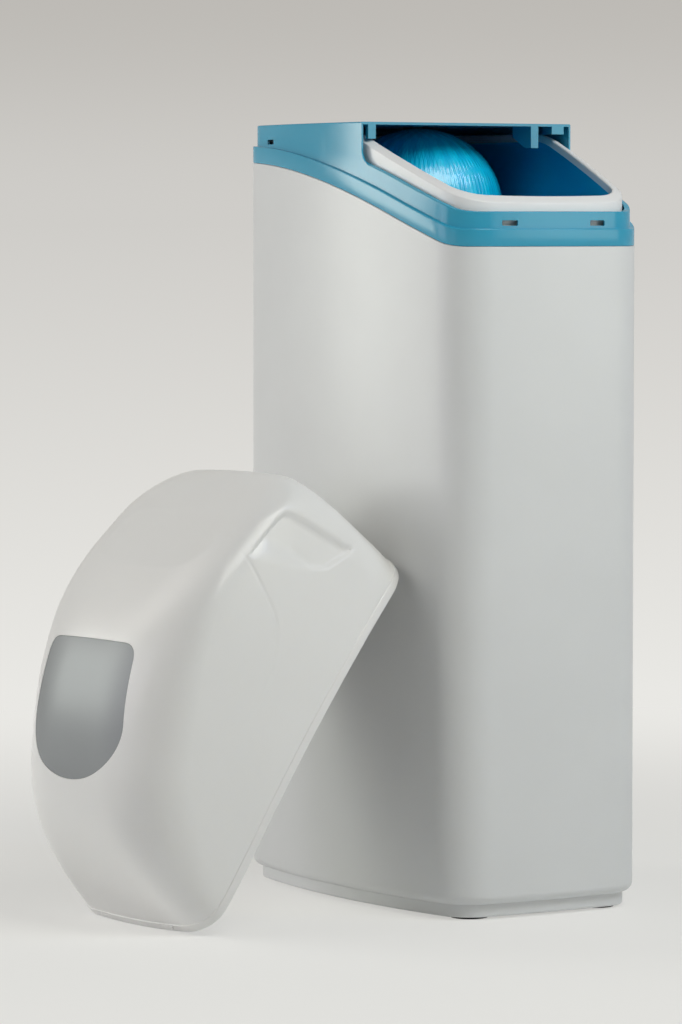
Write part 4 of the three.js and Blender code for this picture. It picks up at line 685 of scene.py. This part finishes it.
def collar_section():
    """The collar's section in pairs of inset and height: up the outside, over the step and down inside."""
    collar = group("collar")
    foot, round_edge, hollow, top_edge, small = 0.0009, 0.0014, 0.0004, 0.0012, 0.0005
    skirt_gap, lip_wall = 0.0004, 0.0026
    skirt = group("cabinet").wall + skirt_gap
    inner, ledge = collar.inset + collar.upper_wall, collar.step - collar.wall
    points = [(collar.wall, 0)] + rounding(foot, foot, foot, 270, 360, 5)
    points += rounding(round_edge, collar.step - round_edge, round_edge, 0, 90, 7)
    points += rounding(collar.inset - hollow, collar.step + hollow, hollow, 270, 180, 4)
    points += rounding(collar.inset + top_edge, collar.height - top_edge, top_edge, 0, 90, 6)
    points += [(collar.lip - small, collar.height), (collar.lip, collar.height - small),
               (collar.lip, collar.height - lip_wall), (inner, collar.height - lip_wall),
               (inner, -collar.skirt), (skirt, -collar.skirt), (skirt, ledge), (collar.wall, ledge)]
    return points


def hood_outline():
    """Side view of the hood's walls, with the fillet where the front edge meets the collar's slope."""
    collar, curve = group("collar"), crest_curve()
    slope = curve.slope
    y = -collar.hood_front - collar.fillet
    z = float(curve.height(y, collar.height)) + collar.fillet / math.cos(slope)
    start = y + collar.fillet * math.sin(slope)
    rear = group("cabinet").depth / 2 + OVERRUN
    bottom = [(v, float(curve.height(v, collar.step - collar.wall / 2)))
              for v in np.linspace(start, rear, 60)]
    arc = [(y + collar.fillet * math.cos(t), z + collar.fillet * math.sin(t))
           for t in -(math.pi / 2 - slope) * np.linspace(0, 1, 13)]
    top = FRAME_HIGH.z + OVERRUN
    return bottom + [(rear, top), (-collar.hood_front, top)] + arc


# Under the roof's front edge: places across, and how far each reaches down and back
BRACKET = {"x": (0.0955, 0.1065), "drop": 0.027, "toe_drop": 0.013, "heel": 0.014, "reach": 0.041}
RIB = {"x": (-0.1455, -0.1345), "drop": 0.0175, "reach": 0.006}
BOSS = {"x": (0.127, 0.145), "drop": 0.0095, "reach": 0.020}
# Openings for the lid's hooks: half width, half height and corner radius
SLOT = (0.011, 0.0032, 0.0012)
SIDE_HOLE = (0.0095, 0.003, 0.0006)


class SOFTENER_OT_collar(bpy.types.Operator):
    """Builds the stepped collar with its hood, and the two screws that hold it"""
    bl_idname = "softener.collar"
    bl_label = "Collar and hood"

    def execute(self, context):
        collar, curve, cabinet = group("collar"), crest_curve(), group("cabinet")
        roof = FRAME_HIGH.z
        front = -collar.hood_front
        half = cabinet.width / 2 + OVERRUN
        frame_piece = carried("top_collar", collar_section(), curve, plan_ring)
        low = group("crest").front
        inner = collar.inset + collar.upper_wall
        heights = (low, roof - collar.roof_wall)
        walls = skin("walls", [flat_ring(plan_ring(collar.inset), z) for z in heights])
        hollow = skin("hollow", [flat_ring(plan_ring(inner), z) for z in (low - OVERRUN, roof)])
        combine(walls, [hollow])
        combine(walls, [prism("profile", hood_outline(), "x", -half, half)], "INTERSECT")
        edge = 0.0018
        levels = [(collar.inset, roof - collar.roof_wall)]
        levels += rounding(collar.inset + edge, roof - edge, edge, 0, 90, 6)
        plate = skin("roof", [flat_ring(plan_ring(inset), z) for inset, z in levels])
        rear = cabinet.depth / 2 + OVERRUN
        combine(plate, [block("rear", (-half, front, low), (half, rear, roof + OVERRUN))], "INTERSECT")
        combine(frame_piece, [walls, plate, *self.ribs(roof, front)], "UNION")
        combine(frame_piece, self.openings(curve))
        finish_piece(frame_piece, "teal_shell", "cabinet", "top_frame")
        for side in ("left", "right"):
            self.screw("frame_screw_" + side)
        return {"FINISHED"}

    def ribs(self, roof, front):
        """The bracket, rib and boss under the roof's front edge."""
        wall = group("collar").roof_wall
        top, under = roof - wall / 2, roof - wall
        back = front + BRACKET["reach"]
        outline = [(front, top), (front, under - BRACKET["drop"]),
                   (front + BRACKET["heel"], under - BRACKET["drop"]),
                   (back, under - BRACKET["toe_drop"]), (back, top)]
        pieces = [prism("bracket", outline, "x", *BRACKET["x"])]
        for name, size in (("rib", RIB), ("boss", BOSS)):
            left, right = size["x"]
            pieces.append(block(name, (left, front, under - size["drop"]),
                                (right, front + size["reach"], top)))
        return pieces

    def openings(self, curve):
        """The slots and square holes that take the lid's hooks, and the screw holes."""
        cabinet, collar = group("cabinet"), group("collar")
        front, screw_depth = -cabinet.depth / 2, 0.0063

        def opening(name, size, axis, middle, height, start, stop):
            half_width, half_height, corner = size
            return prism(name, rounded_outline(middle - half_width, middle + half_width, height - half_height,
                                               height + half_height, corner), axis, start, stop)
        z = group("crest").front + HOOK_RISE
        tools = [opening("slot", SLOT, "y", x, z, front, front + collar.lip) for x in (-SLOT_X, SLOT_X)]
        z, reach = float(curve.height(HOLE_Y, HOOK_RISE)), 2 * collar.upper_wall
        for side in (-1, 1):
            x = side * (side_face(collar.inset, HOLE_Y) - collar.upper_wall / 2)
            tools.append(opening("hole", SIDE_HOLE, "x", HOLE_Y, z, x - reach, x + reach))
        return tools + screw_holes(screw_depth, cabinet.depth / 2)

    def screw(self, node):
        """A pan head with a cross recess, on its shank."""
        low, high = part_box(node)
        middle, radius = (low + high) / 2, (high.x - low.x) / 2
        shank, head, rim, recess, draft = 0.0019, 0.0024, 0.0008, 0.0012, 0.0001
        face = high.y - head
        screw = turned("screw", [
            (shank, low.y), (shank, face), (radius - 2 * draft, face), (radius - draft, face + rim),
            (radius * 0.8, face + head * 0.8), (radius * 0.5, high.y), (radius * 0.2, high.y)],
            "y", (middle.x, 0, middle.z))
        long_arm, short_arm = radius * 0.5, radius * 0.11
        cross = [block("cross", (middle.x - a, high.y - recess, middle.z - b),
                       (middle.x + a, high.y + GAP, middle.z + b))
                 for a, b in ((long_arm, short_arm), (short_arm, long_arm))]
        combine(screw, cross)
        screw.name = "pan_" + node
        finish_piece(screw, "steel", "cabinet", node)


# Tank and rim

class SOFTENER_OT_tank(bpy.types.Operator):
    """Builds the brine tank and its white rim"""
    bl_idname = "softener.tank"
    bl_label = "Brine tank"

    def execute(self, context):
        rim, curve = group("rim"), rim_curve()
        inset, wall, web, hang = 0.017, 0.003, 0.006, 0.032
        tank = self.tank(curve, inset, wall, -web - GAP)
        combine(tank, self.port_holes(0))
        finish_piece(tank, "tank_blue", "cabinet", "brine_tank")

        outer, inner = rim.inset, rim.inset + rim.width
        soft, crown = 0.0014, 0.0026
        section = [(outer, -hang)]
        section += rounding(outer + soft, -soft, soft, 0, 72, 6)
        section += rounding(inner - crown, rim.crown - crown, crown, 72, 180, 10)
        section += [(inner, -web - GAP), (inset + wall + GAP, -web - GAP), (inset + wall + GAP, -web),
                    (inset - GAP, -web), (inset - GAP, -hang)]
        ring = carried("rim_moulding", section, curve, tank_ring)
        lowest = 0.8
        combine(ring, self.port_holes(lowest))
        finish_piece(ring, "rim_white", "cabinet", "tank_rim")
        return {"FINISHED"}

    def tank(self, curve, inset, wall, top):
        """The tank's liner: up the outside from the bottom's fillet, and down inside."""
        floor, fillet = 0.004, 0.012
        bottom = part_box("brine_tank")[0].z + fillet
        outside = rounding(inset + fillet, bottom, fillet, 270, 360, 8)
        inside = rounding(inset + wall + fillet, bottom + floor, fillet, 360, 270, 8)
        rows = [flat_ring(tank_ring(place), z) for place, z in outside]
        rows += [along(tank_ring(place), curve, top) for place in (inset, inset + wall)]
        rows += [flat_ring(tank_ring(place), z) for place, z in inside]
        return skin("tank_liner", rows)

    def port_holes(self, lowest):
        """Cutters for the back wall's fittings that are above a height."""
        start, stop = 0.215, 0.256
        return [turned("hole", [(radius + 2 * GAP, start), (radius + 2 * GAP, stop)], "y", (x, 0, z))
                for x, z, radius in PORTS.values() if z > lowest]


# Vessel

class SOFTENER_OT_vessel(bpy.types.Operator):
    """Builds the wound pressure vessel"""
    bl_idname = "softener.vessel"
    bl_label = "Pressure vessel"

    def execute(self, context):
        vessel, middle = group("vessel"), vessel_middle()
        top = vessel.apex - vessel.dome
        start = math.degrees(math.acos(vessel.neck / vessel.radius))
        wall, bore, near_top, floor_share = 0.004, 0.030, 89.5, 0.6

        def dome(z, height, grow, first, last, count):
            turns = np.radians(np.linspace(first, last, count))
            return [((vessel.radius + grow) * math.cos(t), z + (height + grow) * math.sin(t)) for t in turns]

        outside = [(bore, VESSEL_LOW.z), (vessel.neck, VESSEL_LOW.z)]
        outside += dome(vessel.base, vessel.base_dome, 0, -start, 0, 24)
        outside += dome(top, vessel.dome, 0, 0, near_top, 48)
        inside = dome(top, vessel.dome, -wall, near_top, 0, 16)
        inside += dome(vessel.base, vessel.base_dome, -wall, 0, -start, 12)
        inside += [(bore, vessel.base - vessel.base_dome * floor_share), (bore, VESSEL_LOW.z - OVERRUN)]
        shell = skin("vessel_shell", self.rings(outside, middle), sharp=50)
        combine(shell, [skin("hollow", self.rings(inside, middle), sharp=50)], sharp=50)
        finish_piece(shell, "vessel_blue", "cabinet", "pressure_vessel")
        return {"FINISHED"}

    def rings(self, profile, middle):
        turns = 2 * math.pi * np.arange(FINE) / FINE
        x, y = np.cos(turns), np.sin(turns)
        return [np.column_stack([middle.x + r * x, middle.y + r * y, np.full(FINE, h)]) for r, h in profile]


# Lid

# Each level of the closed lid: height as a share of the lid's, then front, rear and side as shares of the
# cabinet's half sizes, and the rear and front corners as shares of the cabinet's corner
LEVEL_SHARES = np.array([
    (-0.18, 1.000, 1.000, 1.000, 1.00, 1.00), (0.20, 0.990, 1.000, 1.000, 1.02, 1.12),
    (0.36, 0.968, 0.998, 0.998, 1.08, 1.42), (0.455, 0.936, 0.988, 0.994, 1.14, 1.58),
    (0.56, 0.871, 0.972, 0.988, 1.22, 1.74), (0.69, 0.725, 0.946, 0.977, 1.28, 1.92),
    (0.81, 0.556, 0.912, 0.964, 1.32, 2.05), (0.88, 0.425, 0.884, 0.948, 1.34, 2.08),
    (0.93, 0.310, 0.845, 0.920, 1.32, 2.05), (0.965, 0.180, 0.770, 0.868, 1.20, 1.90),
    (0.985, 0.040, 0.670, 0.800, 0.95, 1.60), (1.00, -0.130, 0.500, 0.660, 0.55, 0.85),
])
# The grip's edge on the right side, seen square to the shoulder: (y, height there, width of the edge)
GRIP = np.array([
    (0.085, 0.843, 0.008), (0.102, 0.8445, 0.007), (0.117, 0.845, 0.006), (0.132, 0.8455, 0.006),
    (0.147, 0.846, 0.007), (0.161, 0.845, 0.008), (0.171, 0.837, 0.010), (0.180, 0.819, 0.012),
    (0.189, 0.797, 0.012), (0.200, 0.771, 0.009), (0.2085, 0.7585, 0.006), (0.2045, 0.7535, 0.005),
    (0.194, 0.7545, 0.005), (0.180, 0.7577, 0.005), (0.156, 0.7630, 0.006), (0.137, 0.775, 0.010),
    (0.124, 0.787, 0.020), (0.110, 0.803, 0.030), (0.096, 0.820, 0.034), (0.085, 0.834, 0.020),
])
GRIP_DEPTH = 0.006
# Where the grip is: y, height square to the shoulder, and least x
GRIP_BOX = ((0.07, 0.22), (0.74, 0.86), 0.10)
SHOULDER = math.radians(35)
# The moulded arc on the lid's sides: (y, z) from its upper end, where it is, and how it fades at its ends
ARC = [(0.084, 1.142), (0.076, 1.109), (0.067, 1.075), (0.053, 1.045), (0.016, 1.016), (-0.015, 1.004),
       (-0.044, 0.996), (-0.069, 0.984)]
ARC_BOX = ((-0.09, 0.11), 0.97, 0.08)             # y, least z and least x
ARC_WIDTH = 0.0022
ARC_FADES = (0.15, 0.55)
PANE = {"x": -0.007, "y": -0.140, "z": 1.089, "tilt": 45, "width": 0.188, "top_width": 0.180, "above": 0.082,
        "below": 0.084, "bend": 0.015, "corner": 0.024, "arch": 0.002, "reach": 0.045}
LEVELS = 500                  # fine levels from which the lid's wall is taken
COUNTS = (20, 24, 190)        # points along the lid's ends, corners and sides
CAP_SHARES = np.linspace(0.05, 0.96, 24)      # rings of the lid's cap, as shares of its edge
OUTER_ROWS, INNER_ROWS = 170, 90


def spline(knots, values, at):
    """A natural cubic spline through values at knots."""
    step = np.diff(knots)
    count = len(knots)
    matrix, right = np.eye(count), np.zeros(count)
    for i in range(1, count - 1):
        matrix[i, i - 1:i + 2] = step[i - 1], 2 * (step[i - 1] + step[i]), step[i]
        right[i] = 6 * ((values[i + 1] - values[i]) / step[i] - (values[i] - values[i - 1]) / step[i - 1])
    bend = np.linalg.solve(matrix, right)
    k = np.clip(np.searchsorted(knots, at) - 1, 0, count - 2)
    h, a, b = step[k], knots[k + 1] - at, at - knots[k]
    return (bend[k] * a ** 3 + bend[k + 1] * b ** 3) / (6 * h) + (values[k] / h - bend[k] * h / 6) * a + (
        values[k + 1] / h - bend[k + 1] * h / 6) * b


def lid_levels(count):
    """The lid's levels at many even steps up its profile."""
    shares = LEVEL_SHARES
    cabinet = group("cabinet")
    lid_height = group("lid").top - group("crest").front - group("collar").step
    run = np.hypot(np.diff(shares[:, 1]) * cabinet.depth / 2, np.diff(shares[:, 0]) * lid_height)
    knots = np.concatenate([[0], np.cumsum(run)])
    at = np.linspace(0, knots[-1], count)
    table = np.column_stack([spline(knots, shares[:, i], at) for i in range(shares.shape[1])])
    table[:, 0] = np.minimum(table[:, 0], 1)
    return table


def lid_grid(inset):
    """Rings of the lid's form at many levels, shrunk by an inset."""
    cabinet, lid = group("cabinet"), group("lid")
    base = group("crest").front + group("collar").step
    tall = lid.top - base
    rings = []
    for height, front, rear, side, corner, front_corner in lid_levels(LEVELS):
        y0 = -front * cabinet.depth / 2 + inset
        y1 = rear * cabinet.depth / 2 - inset
        z = base + height * tall - max(height, 0) ** 3 * inset
        ring = bowed_ring(side * cabinet.width / 2, (y1 - y0) / 2 + inset, corner * cabinet.corner,
                          front_corner * cabinet.corner, inset, (y0 + y1) / 2, COUNTS)
        rings.append(flat_ring(ring, z))
    return np.array(rings)


def lid_wall(inset, rows, offset):
    """The lid's wall from a line above the cabinet's edge up to its top, as rows from below."""
    grid = lid_grid(inset)
    curve = crest_curve()
    over = grid[:, :, 2] - curve.height(grid[:, :, 1], offset)
    result = np.empty((rows, grid.shape[1], 3))
    level = np.arange(len(grid))
    for i in range(grid.shape[1]):
        first = int(np.argmax(over[:, i] > 0))
        low, high = over[first - 1, i], over[first, i]
        start = first - 1 - low / (high - low)
        at = np.linspace(start, len(grid) - 1, rows)
        for axis in range(3):
            result[:, i, axis] = np.interp(at, level, grid[:, i, axis])
    return result


def grip_depth(points):
    """How far the finger grips are pressed in at each point of the lid's wall: nothing outside the grip's
    edge, then deeper inwards over the edge's own width."""
    side, y, z = np.abs(points[..., 0]), points[..., 1], points[..., 2]
    across = z * math.cos(SHOULDER) - side * math.sin(SHOULDER)
    depth = np.zeros(side.shape)
    (y_low, y_high), (low, high), least = GRIP_BOX
    near = (y > y_low) & (y < y_high) & (across > low) & (across < high) & (side > least)
    edge = np.concatenate([GRIP, GRIP[:1]])
    steps, roundings = 240, 6
    at = np.linspace(0, len(GRIP), steps + 1)[:-1]
    u, v, width = (np.interp(at, np.arange(len(edge)), edge[:, k]) for k in range(3))
    for _ in range(roundings):
        u, v = ((np.roll(c, 1) + 2 * c + np.roll(c, -1)) / 4 for c in (u, v))
    here, there = y[near][:, None], across[near][:, None]
    share = np.clip(np.hypot(here - u, there - v) / width, 0, 1).min(1)
    u_next, v_next = np.roll(u, -1), np.roll(v, -1)
    crosses = (v_next > there) != (v > there)
    with np.errstate(divide="ignore", invalid="ignore"):
        cut = u + (there - v) * (u_next - u) / (v_next - v)
    inside = (crosses & (here < cut)).sum(1) % 2 == 1
    depth[near] = np.where(inside, GRIP_DEPTH * share * share * (3 - 2 * share), 0)
    return depth


def arc_depth(points):
    """How deep the moulded arcs are at each point of the lid's wall."""
    side, y, z = np.abs(points[..., 0]), points[..., 1], points[..., 2]
    knots, steps = np.arange(len(ARC), dtype=float), 120
    at = np.linspace(0, knots[-1], steps)
    path = np.column_stack([spline(knots, np.array(ARC)[:, k], at) for k in (0, 1)])
    (y_low, y_high), z_low, least = ARC_BOX
    close = (side > least) & (y > y_low) & (y < y_high) & (z > z_low)
    depth = np.zeros(side.shape)
    gaps = np.hypot(y[close][:, None] - path[:, 0], z[close][:, None] - path[:, 1])
    share = gaps.argmin(1) / (len(path) - 1)
    fade = np.clip(share / ARC_FADES[0], 0, 1) * np.clip((1 - share) / ARC_FADES[1], 0, 1)
    depth[close] = group("lid").arc_depth * fade * np.exp(-(gaps.min(1) / ARC_WIDTH) ** 2)
    return depth


def lid_relief(points, arc_share):
    """Presses the finger grips and the moulded arcs into the two sides."""
    along, around = np.gradient(points, axis=0), np.gradient(points, axis=1)
    normal = np.cross(around, along)
    normal /= np.linalg.norm(normal, axis=2, keepdims=True) + 1e-12
    outward = np.sign((normal * (points - points.mean((0, 1)))).sum(2, keepdims=True))
    depth = grip_depth(points) + arc_share * arc_depth(points)
    return points - normal * outward * depth[..., None]


def lid_rows(inset, wall_rows, arc_share=1.0):
    """The lid's wall and cap as rows from above: the cap's rings first."""
    lid, collar = group("lid"), group("collar")
    wall = lid_wall(inset, wall_rows, collar.step + GAP + lid.foot)[::-1]
    centre = wall[0].mean(0)
    cap = [centre + (wall[0] - centre) * share for share in CAP_SHARES]
    return lid_relief(np.concatenate([cap, wall]), arc_share)


def lean_matrix():
    lid = group("lid")
    c, s = math.cos(lid.tilt), math.sin(lid.tilt)
    turn = Matrix(((0, c, -s, 0), (-1, 0, 0, 0), (0, s, c, 0), (0, 0, 0, 1)))
    return Matrix.Rotation(lid.turn, 4, "Z") @ turn


def pane_outline(grow):
    half, top_half = PANE["width"] / 2 + grow, PANE["top_width"] / 2 + grow
    top, corner, bend = PANE["above"] + grow, PANE["corner"], PANE["bend"]

    def quadratic(a, b, c, count):
        t = np.linspace(0, 1, count)[:, None]
        return ((1 - t) ** 2 * np.array(a) + 2 * t * (1 - t) * np.array(b) + t ** 2 * np.array(c)).tolist()
    points = [(half, -bend)]
    points += quadratic((top_half, top - corner), (top_half, top), (top_half - corner, top), 14)
    points += quadratic((top_half - corner, top), (0, top + PANE["arch"]), (corner - top_half, top), 16)[1:]
    points += quadratic((corner - top_half, top), (-top_half, top), (-top_half, top - corner), 14)[1:]
    points += [(-half * math.cos(t), -bend - (PANE["below"] - bend + grow) * math.sin(t))
               for t in np.linspace(0, math.pi, 48)[:-1]]
    return points


def pane_prism(grow):
    """A bar with the pane's outline, square to the lid's front slope."""
    rows = [[(u + PANE["x"], v, w) for u, v in pane_outline(grow)] for w in (-PANE["reach"], PANE["reach"])]
    tool = skin("pane_prism", rows, sharp=30)
    tilt = Matrix.Rotation(math.radians(PANE["tilt"]), 4, "X")
    tool.data.transform(Matrix.Translation((0, PANE["y"], PANE["z"])) @ tilt)
    return tool


class SOFTENER_OT_lid(bpy.types.Operator):
    """Builds the moulded lid with its grips, hooks and smoked pane, leaning on the cabinet"""
    bl_idname = "softener.lid"
    bl_label = "Lid"

    def execute(self, context):
        lid = group("lid")
        inside = lid.groove + lid.wall
        inner = lid_rows(inside, INNER_ROWS, 0.0)[::-1]
        shell = skin("lid_moulding", np.concatenate([
            lid_rows(lid.groove, OUTER_ROWS)[:-1], self.foot_rows(lid), inner]), sharp=50)
        combine(shell, self.hooks(), "UNION", 50)
        clearance, proud = 0.0004, 0.0003
        combine(shell, [pane_prism(clearance)], sharp=50)
        pane = skin("lid_pane", np.concatenate([
            lid_rows(lid.groove + proud, OUTER_ROWS), lid_rows(inside, INNER_ROWS)[::-1]]), sharp=30)
        combine(pane, [pane_prism(0)], "INTERSECT", 30)
        turn = lean_matrix()
        for piece in (shell, pane):
            piece.data.transform(turn)
        place = self.offset(shell)
        for piece, slot, node in ((shell, "lid_white", "lid_shell"), (pane, "smoked_pane", "lid_window")):
            piece.data.transform(Matrix.Translation(place))
            finish_piece(piece, slot, "lid", node)
        return {"FINISHED"}

    def foot_rows(self, lid):
        """The thicker band along the lid's edge, from its groove down, round and up inside."""
        cabinet, curve = group("cabinet"), crest_curve()
        seat, soft = group("collar").step + GAP, 0.0008
        foot = [(lid.groove, seat + lid.foot)]
        foot += rounding(lid.groove, seat + lid.foot - lid.groove, lid.groove, 75, 0, 5)
        foot += rounding(soft, seat + soft, soft, 0, -90, 4)
        foot += [(lid.foot_wall - soft / 2, seat), (lid.foot_wall, seat + soft / 2),
                 (lid.foot_wall, seat + lid.foot)]
        return np.array([along(bowed_ring(
            cabinet.width / 2, cabinet.depth / 2, cabinet.corner, inset=inset, counts=COUNTS), curve, offset)
            for inset, offset in foot])

    def offset(self, shell):
        """From where the turned lid is to the middle of the frame's own lid."""
        points = np.array([v.co for v in shell.data.vertices])
        low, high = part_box("lid_shell")
        return (low + high) / 2 - Vector((points.min(0) + points.max(0)) / 2)

    def hooks(self):
        """Snap hooks, one for each slot and hole in the collar."""
        lid, cabinet, curve = group("lid"), group("cabinet"), crest_curve()
        height, reach, half_width, half_length = 0.004, 0.004, 0.010, 0.0085
        inner = lid.groove + lid.wall
        front, rise = -cabinet.depth / 2 + inner, group("crest").front + HOOK_RISE
        wedge = [(front - lid.wall, rise - height / 2), (front + reach, rise - height / 2),
                 (front + reach, rise), (front - lid.wall, rise + height / 2)]
        tools = [prism("hook", wedge, "x", x - half_width, x + half_width) for x in (-SLOT_X, SLOT_X)]
        z, face = float(curve.height(HOLE_Y, HOOK_RISE)), side_face(inner, HOLE_Y)
        for side in (-1, 1):
            left, right = sorted((side * (face - reach), side * (face + lid.wall)))
            tools.append(block("hook", (left, HOLE_Y - half_length, z - height / 2),
                               (right, HOLE_Y + half_length, z + height / 2)))
        return tools


# Inner pieces and fittings that keep the frame's shapes

class SOFTENER_OT_inner(bpy.types.Operator):
    """Gives the pieces inside the cabinet and on its back wall their finishes"""
    bl_idname = "softener.inner"
    bl_label = "Inner pieces"

    def execute(self, context):
        for row in frame["record"]["subparts"]:
            if not frame["nodes"][row["node"]].hide_render:
                refinish(row["material_slot"], row["node"])
        return {"FINISHED"}


# Stage

class SOFTENER_OT_stage(bpy.types.Operator):
    """Builds the floor, the backdrop, the lights and the camera"""
    bl_idname = "softener.stage"
    bl_label = "Stage"

    def execute(self, context):
        scene, stage = context.scene, group("stage")
        scene.view_settings.view_transform = "Standard"
        self.camera(scene, stage)
        self.floor(stage)
        self.world(scene, stage)
        for lamp in LAMPS:
            self.lamp(*lamp)
        return {"FINISHED"}

    def camera(self, scene, stage):
        data = bpy.data.cameras.new("camera")
        data.lens = stage.focal
        data.sensor_width = 36
        data.clip_end = 2000
        camera = bpy.data.objects.new("camera", data)
        camera.location = stage.eye
        camera.rotation_euler = Euler((math.pi / 2 - stage.pitch, 0, -stage.azimuth))
        scene.collection.objects.link(camera)
        scene.camera = camera

    def floor(self, stage):
        reach, count = 900.0, 64
        turns = 2 * math.pi * np.arange(count) / count
        points = [(reach * math.cos(t), reach * math.sin(t), 0) for t in turns]
        mesh = bpy.data.meshes.new("floor")
        mesh.from_pydata(points, [], [tuple(range(count))])
        obj = bpy.data.objects.new("floor", mesh)
        bpy.context.scene.collection.objects.link(obj)
        material, graph, shader = new_material("floor")
        graph.fill(shader, {
            "Base Color": (*stage.floor_colour, 1), "Roughness": 0.65, "Specular IOR Level": 0.2})
        away = graph.add("VectorMath", {0: graph.place()}, operation="LENGTH").outputs["Value"]
        nearness = graph.math("DIVIDE", VIEW_REACH * NEAR_SHARE, graph.math("ADD", away, VIEW_REACH))
        blend = graph.add("Mix", {
            "Factor": nearness, "A": (*stage.far_colour, 1), "B": (*stage.near_colour, 1)}, data_type="RGBA")
        glow = graph.add("Emission", {"Color": blend.outputs["Result"]})
        glowing = self.rise(graph, away, *GLOW_REACH, FLOOR_GLOW)
        mix = graph.add("MixShader", {
            "Fac": graph.math("MULTIPLY", glowing, self.seen(graph)),
            1: shader.outputs["BSDF"], 2: glow.outputs["Emission"]})
        graph.fill(graph.nodes["Material Output"], {"Surface": mix.outputs["Shader"]})
        mesh.materials.append(material)

    def rise(self, graph, value, start, stop, lowest=0.0):
        """A soft step from the lowest share up to 1."""
        return graph.add("MapRange", {"From Min": start, "From Max": stop, "To Min": lowest, "Value": value},
                         interpolation_type="SMOOTHSTEP").outputs["Result"]

    def seen(self, graph):
        """1 for rays that come from the camera, or by way of a mirror or glass."""
        path = graph.add("LightPath", {}).outputs
        seen = graph.math("MAXIMUM", path["Is Camera Ray"], path["Is Glossy Ray"])
        return graph.math("MAXIMUM", seen, path["Is Transmission Ray"])

    def world(self, scene, stage):
        world = bpy.data.worlds.new("world")
        scene.world = world
        world.use_nodes = True
        graph = Graph(world.node_tree)
        ambient = graph.fill(graph.nodes["Background"], {"Color": (1.0, 1.0, 0.99, 1), "Strength": AMBIENT})
        split = graph.add("SeparateXYZ", {0: graph.place("Generated")})
        ramp = graph.add("ValToRGB", {"Fac": self.rise(graph, split.outputs["Z"], 0.0, HORIZON_TOP)})
        for stop, shade in zip(ramp.color_ramp.elements, (stage.far_colour, stage.top_colour)):
            stop.color = (*shade, 1)
        backdrop = graph.add("Background", {"Color": ramp.outputs["Color"]})
        mix = graph.add("MixShader", {
            "Fac": self.seen(graph), 1: ambient.outputs["Background"], 2: backdrop.outputs["Background"]})
        graph.fill(graph.nodes["World Output"], {"Surface": mix.outputs["Shader"]})

    def lamp(self, name, place, size, power, tint):
        data = bpy.data.lights.new(name, "AREA")
        data.shape = "RECTANGLE"
        data.size, data.size_y = size
        data.energy = power
        data.color = tint
        lamp = bpy.data.objects.new(name, data)
        lamp.location = place
        lamp.rotation_euler = (AIM - Vector(place)).to_track_quat("-Z", "Y").to_euler()
        bpy.context.scene.collection.objects.link(lamp)


AMBIENT = 0.05
AIM = Vector((-0.1, 0, 0.6))
VIEW_REACH = 6.1            # how far the camera stands from the softener
NEAR_SHARE = 1.45           # how strong the nearer backdrop colour is at the softener
GLOW_REACH = (0.4, 2.4)     # where the floor's own light starts and is full, from the softener
FLOOR_GLOW = 0.6            # how much of the backdrop's own light the camera sees in the floor near by
HORIZON_TOP = 0.05          # slope at which the backdrop reaches its upper colour
# Soft boxes: place, size, power and colour
LAMPS = [
    ("key_light", (2.1, -2.5, 3.2), (0.7, 0.7), 14, (0.66, 0.86, 1.30)),
    ("low_key_light", (2.4, -3.4, 1.4), (1.6, 1.6), 15, (1.05, 1.05, 0.90)),
    ("front_light", (0.2, -2.6, 3.4), (2.4, 2.0), 80, (1.02, 1.03, 0.96)),
    ("rear_low_light", (-2.9, 2.6, 1.3), (1.5, 1.4), 40, (1.01, 1.04, 0.96)),
    ("rear_light", (-2.6, 2.6, 2.8), (1.8, 1.8), 16, (1.06, 1.0, 0.94)),
    ("side_light", (-3.6, 0.8, 1.2), (1.6, 1.6), 17, (1.0, 0.97, 1.03)),
    ("lid_light", (-3.6, -0.8, 0.7), (1.6, 1.0), 3, (1.0, 1.0, 1.0)),
]


class SOFTENER_PT_panel(bpy.types.Panel):
    """Lists the softener's pieces in the sidebar"""
    bl_label = "Water Softener"
    bl_idname = "SOFTENER_PT_panel"
    bl_space_type = "VIEW_3D"
    bl_region_type = "UI"
    bl_category = "Softener"

    def draw(self, context):
        for operator in OPERATORS:
            self.layout.operator(operator.bl_idname)
        for name, kind in GROUPS.items():
            box = self.layout.box()
            box.label(text=name.replace("softener_", "").capitalize())
            for key in kind.__annotations__:
                box.prop(getattr(context.scene, name), key)


OPERATORS = (
    SOFTENER_OT_stage, SOFTENER_OT_cabinet, SOFTENER_OT_collar, SOFTENER_OT_tank, SOFTENER_OT_vessel,
    SOFTENER_OT_lid, SOFTENER_OT_inner,
)


def register():
    for name, kind in GROUPS.items():
        bpy.utils.register_class(kind)
        setattr(bpy.types.Scene, name, PointerProperty(type=kind))
    for kind in (*OPERATORS, SOFTENER_PT_panel):
        bpy.utils.register_class(kind)


def unregister():
    for kind in (SOFTENER_PT_panel, *reversed(OPERATORS)):
        bpy.utils.unregister_class(kind)
    for name, kind in GROUPS.items():
        delattr(bpy.types.Scene, name)
        bpy.utils.unregister_class(kind)


def main():
    register()
    for operator in OPERATORS:
        family, step = operator.bl_idname.split(".")
        getattr(getattr(bpy.ops, family), step)()


if __name__ == "__main__":
    main()
